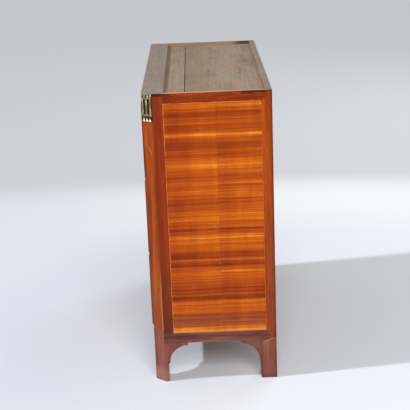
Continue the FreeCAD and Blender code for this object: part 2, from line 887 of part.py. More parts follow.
def small_drawer(index):
    """Small drawer under the shelf: front, sides, back, bottom and knob."""
    left, right = case_cells(SMALL_DRAWERS)[index]
    left += SMALL_GAP
    right -= SMALL_GAP
    low = WRITING_Z + RUN_GAP
    high = SHELF_Z - SMALL_GAP
    rim = high - SMALL_DROP
    inner_left = left + SMALL_WALL
    inner_right = right - SMALL_WALL
    start = CASE_FRONT + SMALL_FRONT
    end = CASE_BACK - SMALL_REAR_CLEAR
    back_at = end - SMALL_WALL
    return [
        board(left, right, CASE_FRONT, start, low, high),
        board(left, inner_left, start, end, low, rim),
        board(inner_right, right, start, end, low, rim),
        board(inner_left, inner_right, back_at, end, low, rim),
        board(inner_left, inner_right, start, back_at, low, low + SMALL_BOTTOM),
        small_knob((left + right) / 2, (low + high) / 2),
    ]


# Writing leaf


def pivot_plate():
    """Right end of the leaf: a plate let into the end, with the pivot pin and the stop lug."""
    half = PIVOT_PLATE_WIDTH / 2
    inner = LEAF_HALF - PIVOT_PLATE
    plate = side_prism(
        inner,
        LEAF_HALF,
        (PIVOT_DEPTH - half, PIVOT_Z + PIVOT_PLATE_LENGTH),
        (PIVOT_DEPTH - half, PIVOT_Z),
        ((PIVOT_DEPTH, PIVOT_Z - half), (PIVOT_DEPTH + half, PIVOT_Z)),
        (PIVOT_DEPTH + half, PIVOT_Z + PIVOT_PLATE_LENGTH),
    )
    pin = rod_x(PIVOT_PIN, LEAF_HALF, LEAF_HALF + PIVOT_LENGTH, PIVOT_DEPTH, PIVOT_Z)
    lug = rod_x(LUG_RADIUS, LEAF_HALF, LEAF_HALF + LUG_LENGTH, PIVOT_DEPTH + LUG_ARM, PIVOT_Z)
    return plate, pin, lug


def leather_panel():
    half = LEAF_HALF - LEATHER_BORDER_X
    low = WRITING_Z + LEATHER_BELOW
    high = LEAF_TOP - LEATHER_ABOVE
    return board(-half, half, FRONT_BACK - LEATHER, FRONT_BACK, low, high)


def leaf_board():
    """The leaf with its half-round lower edge, cut for its plates, lock, keyhole and leather."""
    panel = side_prism(
        -LEAF_HALF,
        LEAF_HALF,
        (-FRONT_PROUD, LEAF_TOP),
        (-FRONT_PROUD, PIVOT_Z),
        ((PIVOT_DEPTH, PIVOT_Z - LEAF_ROUND), (FRONT_BACK, PIVOT_Z)),
        (FRONT_BACK, LEAF_TOP),
    )
    plates = both(pivot_plate()[0])
    return panel.cut([*plates, lock_pocket(LEAF_TOP), keyhole(LEAF_TOP), leather_panel()])


def leaf_pivots():
    plate, pin, lug = pivot_plate()
    return both(plate.fuse([pin, lug]).removeSplitter())


def carcass_nodes():
    front_board, rear_board = top_boards()
    field = field_veneer()
    bands = banding()
    lines = stringing()
    return {
        "right_side_board": [side_board()],
        "left_side_board": [mirrored(side_board())],
        "front_right_post": [front_post()],
        "front_left_post": [mirrored(front_post())],
        "rear_right_post": [rear_post()],
        "rear_left_post": [mirrored(rear_post())],
        "front_right_foot": [front_foot()],
        "front_left_foot": [mirrored(front_foot())],
        "rear_right_foot": [rear_foot()],
        "rear_left_foot": [mirrored(rear_foot())],
        "foot_brackets": foot_brackets(),
        "base_rails": base_rails(),
        "front_base_rail": [front_base_rail()],
        "right_field_veneer": field,
        "left_field_veneer": [mirrored(leaf) for leaf in field],
        "right_banding": bands,
        "left_banding": [mirrored(band) for band in bands],
        "side_stringing": lines + [mirrored(line) for line in lines],
        "corner_veneers": both(corner_veneer()),
        "front_top_rail": [front_top_rail()],
        "rear_top_rail": [rear_top_rail()],
        "top_board_front": [front_board],
        "top_board_rear": [rear_board],
        "bottom_board": [bottom_board()],
        "lower_divider": [divider(1)],
        "upper_divider": [divider(ROWS - 1)],
        "drawer_runners": drawer_runners(),
        "back_boards": back_boards(),
        "right_corner_mount": [corner_mount()],
        "left_corner_mount": [mirrored(corner_mount())],
    }


def plain_drawer_nodes(name, row):
    """Every node of a plain drawer."""
    high = front_span(row)[1]
    z = pull_height(row)
    return {
        f"{name}_front": [plain_front(row)],
        f"{name}_box": plain_box(row),
        f"{name}_lock": [lock_case(high)],
        f"{name}_lock_bolt": [bolt_box(high, 0)],
        f"{name}_brasses": brasses(row),
        f"{name}_ring_left": [ring(-PULL_SPREAD, z)],
        f"{name}_ring_right": [ring(PULL_SPREAD, z)],
    }


def secretary_nodes():
    z = pull_height(ROWS - 1)
    return {
        "secretary_box": secretary_box(),
        "secretary_floor": [secretary_floor()],
        "pigeonhole_case": pigeonhole_case(),
        "pivot_sockets": both(pivot_socket()),
        "small_drawer_left": small_drawer(0),
        "small_drawer_middle": small_drawer(1),
        "small_drawer_right": small_drawer(2),
        "leaf_board": [leaf_board()],
        "leaf_leather": [leather_panel()],
        "leaf_pivots": leaf_pivots(),
        "leaf_lock": [lock_case(LEAF_TOP)],
        "leaf_lock_bolt": [bolt_box(LEAF_TOP, 0)],
        "leaf_brasses": brasses(ROWS - 1),
        "leaf_ring_left": [ring(-PULL_SPREAD, z)],
        "leaf_ring_right": [ring(PULL_SPREAD, z)],
    }


def main():
    nodes = carcass_nodes()
    nodes.update(secretary_nodes())
    nodes.update(plain_drawer_nodes("middle", 1))
    nodes.update(plain_drawer_nodes("lower", 0))
    os.makedirs("parts", exist_ok=True)
    for name, shapes in nodes.items():
        solids = [solid for shape in shapes for solid in shape.Solids]
        Part.makeCompound(solids).exportStep(f"parts/{name}.step")


if __name__ == "__main__":
    main()
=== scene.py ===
"""Secretary chest: its finishes, small metalwork, light and camera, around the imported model."""

import logging
import math
from abc import ABC, abstractmethod
from dataclasses import dataclass
from enum import Enum
from functools import cached_property
from typing import Callable, Iterable, NamedTuple, Optional, Union

import bpy
from mathutils import Matrix, Vector


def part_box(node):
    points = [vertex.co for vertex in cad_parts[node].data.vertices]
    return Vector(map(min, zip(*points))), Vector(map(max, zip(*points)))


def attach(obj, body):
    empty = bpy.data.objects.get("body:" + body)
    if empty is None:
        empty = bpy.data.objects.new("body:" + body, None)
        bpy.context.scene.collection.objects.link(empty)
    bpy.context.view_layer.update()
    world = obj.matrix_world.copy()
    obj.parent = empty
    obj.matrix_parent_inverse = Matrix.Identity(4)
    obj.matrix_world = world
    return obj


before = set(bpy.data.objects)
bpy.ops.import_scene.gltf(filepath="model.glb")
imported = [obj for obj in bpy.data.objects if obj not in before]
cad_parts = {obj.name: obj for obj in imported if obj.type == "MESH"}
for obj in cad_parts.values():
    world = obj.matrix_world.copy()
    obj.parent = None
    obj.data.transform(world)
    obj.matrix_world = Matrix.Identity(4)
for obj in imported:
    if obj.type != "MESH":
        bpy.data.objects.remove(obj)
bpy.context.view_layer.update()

Colour = tuple[float, float, float, float]
Material = bpy.types.Material
Operand = Union["Value", float]
Piece = bpy.types.Object
Sizes = tuple[float, float, float]
Span = tuple[float, float]
Tint = Union["Value", Colour]

LOG = logging.getLogger("secretary_chest")
PHOTO_SIDE = 410
SENSOR_MM = 36.0

# An edge that turns by more than this is eased, and a face with this share of its normal is square on.
EASED = math.radians(40)
SQUARE_ON = 0.9

# The polish coat's roughness, how deep a facing on a front edge goes, and how much smoother it is than oak.
COAT_ROUGHNESS = 0.16
FACING_DEPTH = 0.003
FACING_SHINE = 0.28

# Lines of the chest that the finishes are drawn from, in metres. The cant runs from the front to the side.
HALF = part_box("right_banding")[1].x
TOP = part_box("right_side_board")[1].z
FRONT_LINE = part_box("front_base_rail")[0].y
FRONT_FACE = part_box("middle_front")[0].y
FIELD_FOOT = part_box("right_field_veneer")[0].z
STRING_LOW, STRING_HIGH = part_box("side_stringing")
CANT_SIDE_Y, REAR_EDGE = (corner.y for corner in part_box("right_banding"))
CANT_RUN = 0.028
CANT_FRONT_X = HALF - CANT_RUN
CANT = Vector((CANT_RUN, CANT_SIDE_Y - FRONT_LINE, 0.0))
CANT_MIDDLE = Vector(((HALF + CANT_FRONT_X) / 2, (CANT_SIDE_Y + FRONT_LINE) / 2, 0.0))


def tone(red: float, green: float, blue: float) -> Colour:
    """Turn a colour as a screen shows it into the linear colour that a shader takes.

    Args:
        red: Red part, 0 to 255.
        green: Green part, 0 to 255.
        blue: Blue part, 0 to 255.

    Returns:
        The linear colour with full opacity.
    """
    parts = []
    for part in (red, green, blue):
        share = part / 255
        parts.append(share / 12.92 if share <= 0.04045 else ((share + 0.055) / 1.055) ** 2.4)
    return (parts[0], parts[1], parts[2], 1.0)


class Grain(Enum):
    """The axis that a board's grain runs along."""

    ALONG_X = 0
    ALONG_Y = 1
    ALONG_Z = 2


class Polish(Enum):
    """How wood is finished: its roughness, the weight of its polish coat and its gloss."""

    FRENCH = (0.40, 0.03, 0.12)
    WAXED = (0.48, 0.02, 0.15)
    DRY = (0.62, 0.0, 0.25)
    BARE = (0.80, 0.0, 0.20)

    def __init__(self, roughness: float, coat: float, gloss: float) -> None:
        """Keep what the finish is made of.

        Args:
            roughness: Roughness of the wood under the coat.
            coat: Weight of the polish coat.
            gloss: Strength of the wood's own reflection.
        """
        self.roughness = roughness
        self.coat = coat
        self.gloss = gloss


class Value:
    """A socket that varies over a surface. Sums on it add Math nodes to its recipe."""

    def __init__(self, recipe: "Recipe", socket: bpy.types.NodeSocket) -> None:
        """Wrap one output socket of the recipe's tree."""
        self.recipe = recipe
        self.socket = socket

    def __add__(self, other: Operand) -> "Value":
        """Sum."""
        return self.recipe.maths("ADD", self, other)

    def __radd__(self, other: Operand) -> "Value":
        """Sum, number first."""
        return self.recipe.maths("ADD", other, self)

    def __sub__(self, other: Operand) -> "Value":
        """Difference."""
        return self.recipe.maths("SUBTRACT", self, other)

    def __rsub__(self, other: Operand) -> "Value":
        """Difference, number first."""
        return self.recipe.maths("SUBTRACT", other, self)

    def __mul__(self, other: Operand) -> "Value":
        """Product."""
        return self.recipe.maths("MULTIPLY", self, other)

    def __rmul__(self, other: Operand) -> "Value":
        """Product, number first."""
        return self.recipe.maths("MULTIPLY", other, self)

    def __truediv__(self, other: Operand) -> "Value":
        """Quotient."""
        return self.recipe.maths("DIVIDE", self, other)

    def __abs__(self) -> "Value":
        """Size without sign."""
        return self.recipe.maths("ABSOLUTE", self, 0.0)

    def least(self, other: Operand) -> "Value":
        """The smaller of the two."""
        return self.recipe.maths("MINIMUM", self, other)

    def most(self, other: Operand) -> "Value":
        """The larger of the two."""
        return self.recipe.maths("MAXIMUM", self, other)

    def wave(self) -> "Value":
        """Sine of the value."""
        return self.recipe.maths("SINE", self, 0.0)

    def rising(self, low: float, high: float) -> "Value":
        """A mask that goes smoothly from 0 at low to 1 at high."""
        sockets = {"Value": self, "From Min": low, "From Max": high}
        return self.recipe.node("ShaderNodeMapRange", {"interpolation_type": "SMOOTHSTEP"}, sockets)

    def falling(self, low: float, high: float) -> "Value":
        """A mask that goes smoothly from 1 at low to 0 at high."""
        return 1.0 - self.rising(low, high)

    def past(self, edge: float, soft: float = 0.0003) -> "Value":
        """A crisp mask that turns from 0 to 1 at an edge."""
        return self.rising(edge - soft, edge + soft)

    def near(self, line: float, full: float, gone: float) -> "Value":
        """A mask that is 1 up to a distance from a line, and 0 from a larger one on."""
        return abs(self - line).falling(full, gone)


class Recipe:
    """The node tree of one finish, or of the sky, read in the chest's own coordinates."""

    def __init__(self, name: str, sky: bool = False) -> None:
        """Start an empty tree and read the surface point in it.

        Args:
            name: Name of the material or of the sky.
            sky: Whether it is the sky.
        """
        kind = bpy.data.worlds if sky else bpy.data.materials
        self.owner = kind.new(name)
        self.owner.use_nodes = True
        self.tree = self.owner.node_tree
        self.tree.nodes.clear()
        self.place = self.node("ShaderNodeTexCoord", out="Object")
        split = self.node("ShaderNodeSeparateXYZ", None, {0: self.place})
        self.x, self.y, self.z = (Value(self, axis) for axis in split.socket.node.outputs)

    def node(
        self,
        kind: str,
        settings: Optional[dict[str, object]] = None,
        sockets: Optional[dict[Union[str, int], object]] = None,
        out: Union[str, int] = 0,
    ) -> Value:
        """Add a node, set it up and feed its sockets.

        Args:
            kind: The node's type.
            settings: Attributes set before anything is linked, where stops are a ramp's places and colours.
            sockets: Values or links, by socket name or number.
            out: The output to return.

        Returns:
            The chosen output, wrapped, or the first input of a node that has no output.
        """
        made = self.tree.nodes.new(kind)
        for key, value in (settings or {}).items():
            if key == "stops":
                ramp = made.color_ramp.elements
                while len(ramp) < len(value):
                    ramp.new(1.0)
                for stop, (position, colour) in zip(ramp, value):
                    stop.position = position
                    stop.color = colour
            else:
                setattr(made, key, value)
        for key, value in (sockets or {}).items():
            if isinstance(value, Value):
                self.tree.links.new(value.socket, made.inputs[key])
            else:
                made.inputs[key].default_value = value
        ends = made.outputs if len(made.outputs) else made.inputs
        return Value(self, ends[out])

    def maths(self, operation: str, first: Operand, second: Operand) -> Value:
        """One Math node on two values."""
        return self.node("ShaderNodeMath", {"operation": operation}, {0: first, 1: second})

    def vector(self, x: Operand, y: Operand, z: Operand) -> Value:
        """A point put together from three values."""
        return self.node("ShaderNodeCombineXYZ", None, {0: x, 1: y, 2: z})

    def noise(
        self,
        cell: Union[float, Sizes],
        detail: float = 2.0,
        rough: float = 0.5,
        point: Optional[Value] = None,
    ) -> Value:
        """Noise about nought.

        Args:
            cell: Size of one cell, or its sizes along the three axes, in metres.
            detail: Octaves of finer noise.
            rough: Weight of the finer octaves.
            point: Where it is read, which is the surface point unless another is given.

        Returns:
            A value from about -0.35 to 0.35.
        """
        sizes = cell if isinstance(cell, tuple) else (cell, cell, cell)
        scale = tuple(1.0 / size for size in sizes)
        sockets = {0: point or self.place, 1: scale}
        scaled = self.node("ShaderNodeVectorMath", {"operation": "MULTIPLY"}, sockets)
        sockets = {"Vector": scaled, "Scale": 1.0, "Detail": detail, "Roughness": rough}
        return self.node("ShaderNodeTexNoise", None, sockets) - 0.5

    def distance(self, centre: Sizes) -> Value:
        """Distance of the surface point from a fixed point, in metres."""
        sockets = {0: self.place, 1: centre}
        return self.node("ShaderNodeVectorMath", {"operation": "DISTANCE"}, sockets, "Value")

    def seen(self) -> Value:
        """Find what the camera sees, straight, in a mirror or through glass.

        Returns:
            A mask that is 1 there.
        """
        shown = self.node("ShaderNodeLightPath", None, None, "Is Camera Ray")
        for path in ("Is Glossy Ray", "Is Transmission Ray"):
            shown = shown.most(self.node("ShaderNodeLightPath", None, None, path))
        return shown

    def ramp(self, value: Value, *stops: tuple[float, Colour]) -> Value:
        """Colours along a value."""
        return self.node("ShaderNodeValToRGB", {"stops": stops}, {"Fac": value}, "Color")

    def blend(self, factor: Operand, first: Tint, second: Tint) -> Value:
        """First colour where the factor is 0, second where it is 1."""
        return self.node("ShaderNodeMix", {"data_type": "RGBA"}, {0: factor, 6: first, 7: second}, 2)

    def surface(
        self,
        colour: Tint,
        roughness: Operand,
        relief: Optional[Value] = None,
        depth: float = 0.0001,
        metal: Operand = 0.0,
        coat: Operand = 0.0,
        gloss: float = Polish.FRENCH.gloss,
    ) -> None:
        """Close the recipe with its shader.

        Args:
            colour: Base colour.
            roughness: Roughness.
            relief: Height of the surface, 0 to 1, if it has any.
            depth: What a relief of 1 stands for, in metres.
            metal: How far it is metal.
            coat: Weight of the polish.
            gloss: Strength of the reflection, the same all over.
        """
        sockets = {"Base Color": colour, "Roughness": roughness, "Metallic": metal}
        sockets.update({"Coat Weight": coat, "Coat Roughness": COAT_ROUGHNESS, "Specular IOR Level": gloss})
        if relief is not None:
            bumps = {"Strength": 1.0, "Distance": depth, "Height": relief}
            sockets["Normal"] = self.node("ShaderNodeBump", None, bumps, "Normal")
        shader = self.node("ShaderNodeBsdfPrincipled", None, sockets, "BSDF")
        self.node("ShaderNodeOutputMaterial", None, {"Surface": shader})

    def polished(self, wood: "Figure", polish: Polish, worn: Operand, depth: float = 0.0001) -> None:
        """Close the recipe with wood under one polish, rougher by what is worn."""
        roughness = polish.roughness + worn
        self.surface(wood.colour, roughness, wood.relief, depth, coat=polish.coat, gloss=polish.gloss)

    def facing(self, front: float) -> Value:
        """A mask that is 1 on the thin facing behind a front line."""
        return self.y.falling(front + FACING_DEPTH - 0.0005, front + FACING_DEPTH)

    def faced(self, wood: "Figure", shown: Value, depth: float) -> None:
        """Close the recipe with dry wood that is polished where it shows."""
        roughness = Polish.DRY.roughness - shown * FACING_SHINE
        self.surface(wood.colour, roughness, wood.relief, depth, coat=shown * Polish.FRENCH.coat)


class Paint:
    """A colour that is built up coat by coat."""

    def __init__(self, recipe: Recipe, ground: Tint) -> None:
        """Start from a ground colour."""
        self.recipe = recipe
        self.colour = ground

    def lay(self, cover: Operand, tint: Tint) -> None:
        """Lay a tint over the colour, as thickly as the cover says."""
        self.colour = self.recipe.blend(cover, self.colour, tint)

    def shade(self, brightness: Operand) -> None:
        """Make the colour brighter or darker."""
        sockets = {"Value": brightness, "Color": self.colour}
        self.colour = self.recipe.node("ShaderNodeHueSaturation", None, sockets)


class Figure(NamedTuple):
    """A wood's colour and its relief."""

    colour: Value
    relief: Value


@dataclass(frozen=True)
class Timber:
    """How one kind of wood looks: three tones, and the size of its figure across the grain."""

    deep: Colour
    body: Colour
    pale: Colour
    band: float = 0.045
    streak: float = 0.007
    pore: float = 0.0012
    run: float = 16.0
    contrast: float = 1.0
    pores: float = 0.35

    def figure(
        self, recipe: Recipe, grain: Grain, lift: Operand = 0.0, point: Optional[Value] = None
    ) -> Figure:
        """Paint the wood.

        Args:
            recipe: The tree that takes it.
            grain: The axis that the grain runs along.
            lift: Added to the tone, above 0 for paler.
            point: Where the grain is read, which is the surface point unless another is given.

        Returns:
            Its colour and relief.
        """

        def drawn_out(pitch: float) -> Sizes:
            """Size of a noise cell that is drawn out along the grain."""
            x, y, z = (pitch * (self.run if axis is grain else 1.0) for axis in Grain)
            return (x, y, z)

        bands = recipe.noise(drawn_out(self.band), 2.0, 0.5, point)
        streaks = recipe.noise(drawn_out(self.streak), 3.0, 0.6, point)
        pores = recipe.noise(drawn_out(self.pore), 1.0, 0.5, point).rising(0.06, 0.2)
        level = 0.5 + self.contrast * (bands * 1.3 + streaks * 0.9) + lift
        colour = recipe.ramp(level, (0.15, self.deep), (0.5, self.body), (0.85, self.pale))
        return Figure(recipe.blend(pores * self.pores, colour, self.deep), 1.0 - pores)


MAHOGANY = Timber(tone(84, 32, 14), tone(122, 52, 22), tone(156, 78, 38))
BANDING_WOOD = Timber(tone(104, 30, 4), tone(144, 50, 8), tone(170, 70, 16), band=0.03)
STILE_WOOD = Timber(tone(104, 30, 4), tone(146, 50, 8), tone(170, 70, 16), band=0.03, contrast=0.55)
REAR_STILE_WOOD = Timber(tone(128, 44, 6), tone(164, 64, 10), tone(192, 88, 20), band=0.03)
BASE_WOOD = Timber(tone(74, 38, 32), tone(108, 62, 52), tone(136, 84, 72), band=0.02)
FOOT_WOOD = Timber(tone(98, 52, 40), tone(132, 76, 60), tone(156, 98, 80), band=0.03)
CANT_WOOD = Timber(tone(124, 44, 6), tone(160, 66, 12), tone(190, 94, 30), band=0.025)
OAK = Timber(tone(132, 94, 58), tone(164, 124, 82), tone(188, 150, 106), band=0.03, pores=0.3, contrast=0.8)
BACK_OAK = Timber(tone(106, 78, 54), tone(142, 108, 76), tone(168, 134, 98), band=0.03, pores=0.5)
KNOB_WOOD = Timber(tone(28, 18, 14), tone(44, 28, 20), tone(62, 40, 30))
FRONT_STRING = tone(206, 140, 76)


class Stripes(NamedTuple):
    """The fine figure of a striped veneer: what it adds to the tone, and its dark flecks."""

    level: Value
    flecks: Value


@dataclass(frozen=True)
class FieldWood:
    """Striped veneer of the fields: its tones from the darkest stripe to the palest."""

    dark: Colour = tone(126, 42, 3)
    red: Colour = tone(166, 64, 4)
    body: Colour = tone(194, 86, 5)
    gold: Colour = tone(220, 114, 12)
    pale: Colour = tone(246, 158, 46)

    def colour(self, recipe: Recipe, level: Value) -> Value:
        """Colour at a level from 0, the darkest stripe, to 1."""
        stops = (0.0, self.dark), (0.3, self.red), (0.55, self.body), (0.78, self.gold), (1.0, self.pale)
        return recipe.ramp(level, *stops)

    def stripes(self, recipe: Recipe, grain: Grain, point: Value, lines: float, hairs: float) -> Stripes:
        """The fine level stripes of a leaf.

        Args:
            recipe: The tree that takes them.
            grain: The axis that they run along.
            point: Where they are read.
            lines: Weight of the stripes that are a few millimetres wide.
            hairs: Weight of the finest ones.

        Returns:
            The sum that they add to the tone, and the flecks.
        """

        def cell(run: float, pitch: float) -> Sizes:
            """Size of a noise cell from its run along the grain and its pitch upwards."""
            return (run, 1.0, pitch) if grain is Grain.ALONG_X else (1.0, run, pitch)

        wide = recipe.noise(cell(1.6, 0.009), 4.0, 0.68, point)
        fine = recipe.noise(cell(0.30, 0.0022), 2.0, 0.6, point)
        ribbon = recipe.noise(cell(0.028, 0.16), 2.0, 0.5, point)
        flecks = recipe.noise(cell(0.03, 0.0009), 1.0, 0.5, point).rising(0.08, 0.22)
        return Stripes(wide * lines + fine * hairs + ribbon * 0.35, flecks)


class Streak(NamedTuple):
    """One level band of the side veneer: its height, half its width, and how much paler it is."""

    height: float
    half: float
    lift: float


SIDE_STREAKS = (
    Streak(0.995, 0.013, 0.03),
    Streak(0.970, 0.012, -0.26),
    Streak(0.925, 0.014, -0.15),
    Streak(0.900, 0.005, 0.34),
    Streak(0.860, 0.026, -0.18),
    Streak(0.830, 0.005, -0.22),
    Streak(0.790, 0.025, 0.15),
    Streak(0.755, 0.010, -0.16),
    Streak(0.700, 0.008, 0.26),
    Streak(0.660, 0.017, -0.08),
    Streak(0.605, 0.010, 0.18),
    Streak(0.565, 0.005, -0.26),
    Streak(0.540, 0.006, 0.22),
    Streak(0.520, 0.020, 0.08),
    Streak(0.475, 0.015, -0.28),
    Streak(0.440, 0.012, -0.24),
    Streak(0.435, 0.004, -0.20),
    Streak(0.400, 0.018, 0.13),
    Streak(0.345, 0.022, -0.24),
    Streak(0.315, 0.010, -0.34),
    Streak(0.280, 0.018, 0.05),
    Streak(0.235, 0.022, -0.24),
    Streak(0.195, 0.010, 0.34),
)


def dress(material: Material, *nodes: str) -> None:
    """Give CAD nodes a finish.

    Args:
        material: The finish.
        nodes: Names of the nodes that take it.
    """
    for node in nodes:
        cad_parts[node].material_slots[0].material = material
        LOG.info("%s takes %s", node, material.name)


@dataclass(frozen=True)
class Finish(ABC):
    """One finish of the chest, under its own name."""

    name: str

    @cached_property
    def recipe(self) -> Recipe:
        """The tree that the finish is laid in, started when it is first asked for."""
        return Recipe(self.name)

    @abstractmethod
    def paint(self) -> None:
        """Lay the finish in its tree and close it."""

    def make(self) -> Material:
        """Build the finish and return it as a material."""
        self.paint()
        return self.recipe.owner

    def dress(self, *nodes: str) -> None:
        """Build the finish and give it to CAD nodes."""
        dress(self.make(), *nodes)


@dataclass(frozen=True)
class PolishedWood(Finish):
    """Plain timber with the grain one way and one polish."""

    timber: Timber
    grain: Grain
    polish: Polish = Polish.FRENCH

    def paint(self) -> None:
        """Lay the plain figure, with its polish worn in places."""
        recipe = self.recipe
        wood = self.timber.figure(recipe, self.grain)
        recipe.polished(wood, self.polish, recipe.noise(0.05, 3.0) * 0.2, 0.00012)


@dataclass(frozen=True)
class SideField(Finish):
    """The sides' field: two leaves opened like a book on an upright seam, with level stripes."""

    wood: FieldWood
    seam: float
    knot: Sizes

    def stripes(self) -> Stripes:
        """The broad streaks, the fine stripes and the sheen of the two leaves.

        Returns:
            The tone's level and the flecks.
        """
        recipe = self.recipe
        from_seam = recipe.y - self.seam
        rear = from_seam.past(0.0, 0.0004)
        height = recipe.z + recipe.noise((1.0, 0.30, 0.12)) * 0.008 - rear * 0.0012
        lift = 0.0
        for streak in SIDE_STREAKS:
            lift = lift + height.near(streak.height, streak.half * 0.5, streak.half * 1.3) * streak.lift
        fade = 0.9 + recipe.noise((1.0, 0.10, 0.04)) * 1.2
        drawn = recipe.vector(recipe.x, recipe.y + rear * 0.14, height)
        fine, flecks = self.wood.stripes(recipe, Grain.ALONG_Y, drawn, 1.3, 0.8)
        sheen = recipe.z.rising(0.28, 0.45)
        front_sheen = (from_seam.rising(-0.16, -0.03) * 0.18 - 0.12) * sheen * (1.0 - rear)
        rear_sheen = (from_seam.rising(0.0, 0.08) * 0.07 - 0.045) * sheen * rear
        return Stripes(0.5 + lift * fade * 1.1 + fine + front_sheen + rear_sheen, flecks)

    def paint(self) -> None:
        """Lay the stripes, a painted reflection of the floor low down, the knot and the seam."""
        recipe = self.recipe
        level, flecks = self.stripes()
        paint = Paint(recipe, self.wood.colour(recipe, level))
        paint.lay(flecks * 0.2, self.wood.dark)
        # Painted reflection of the pale floor: a pinkish band low on the field.
        painted_floor_reflection = recipe.z.rising(0.200, 0.216) * recipe.z.falling(0.226, 0.272)
        paint.lay(painted_floor_reflection * 0.4, tone(138, 82, 60))
        knot = recipe.distance(self.knot)
        paint.lay(knot.falling(0.002, 0.009) * 0.55, tone(120, 52, 30))
        paint.lay(knot.falling(0.001, 0.004) * 0.6, tone(205, 120, 80))
        paint.lay(recipe.y.near(self.seam, 0.0002, 0.0009) * 0.25, self.wood.dark)
        recipe.polished(Figure(paint.colour, 1.0 - flecks), Polish.FRENCH, recipe.noise(0.06, 3.0) * 0.16)


@dataclass(frozen=True)
class FootWood(Finish):
    """Waxed mahogany of the feet and brackets, with one old split on the right rear foot."""

    timber: Timber
    split: tuple[Vector, Vector]

    def split_line(self) -> Value:
        """The pale line of the split.

        Returns:
            A mask that is 1 on the line.
        """
        recipe = self.recipe
        start, end = self.split
        length = (end - start).length
        run = (end - start).normalized()
        over, up = recipe.y - start.y, recipe.z - start.z
        along = over * run.y + up * run.z
        off = abs(over * run.z - up * run.y)
        ends = along.rising(-0.002, 0.0) * along.falling(length, length + 0.002)
        return off.falling(0.0006, 0.0018) * ends * recipe.x.rising(HALF - 0.002, HALF - 0.001)

    def paint(self) -> None:
        """Lay the figure and the dust, darken the rear feet towards the floor, and draw the split."""
        recipe, z = self.recipe, self.recipe.z
        wood = self.timber.figure(recipe, Grain.ALONG_Z)
        paint = Paint(recipe, wood.colour)
        dusty = recipe.noise((0.05, 0.05, 0.09), 3.0, 0.6).rising(0.0, 0.25)
        paint.lay(dusty * 0.35, tone(166, 122, 108))
        fore = recipe.y.falling(-0.1, 0.0)
        paint.lay(fore * z.rising(0.09, 0.13) * 0.35, tone(142, 66, 52))
        paint.lay(fore * z.falling(0.03, 0.07) * 0.5, tone(168, 128, 112))
        # The rear feet are laid darker towards the floor.
        darker_at_floor = z.falling(0.004, 0.03) * (1.0 - fore)
        paint.lay(darker_at_floor * 0.35, tone(84, 50, 40))
        paint.lay(self.split_line() * 0.7, tone(196, 138, 112))
        recipe.polished(Figure(paint.colour, wood.relief), Polish.WAXED, dusty * 0.15, 0.00012)


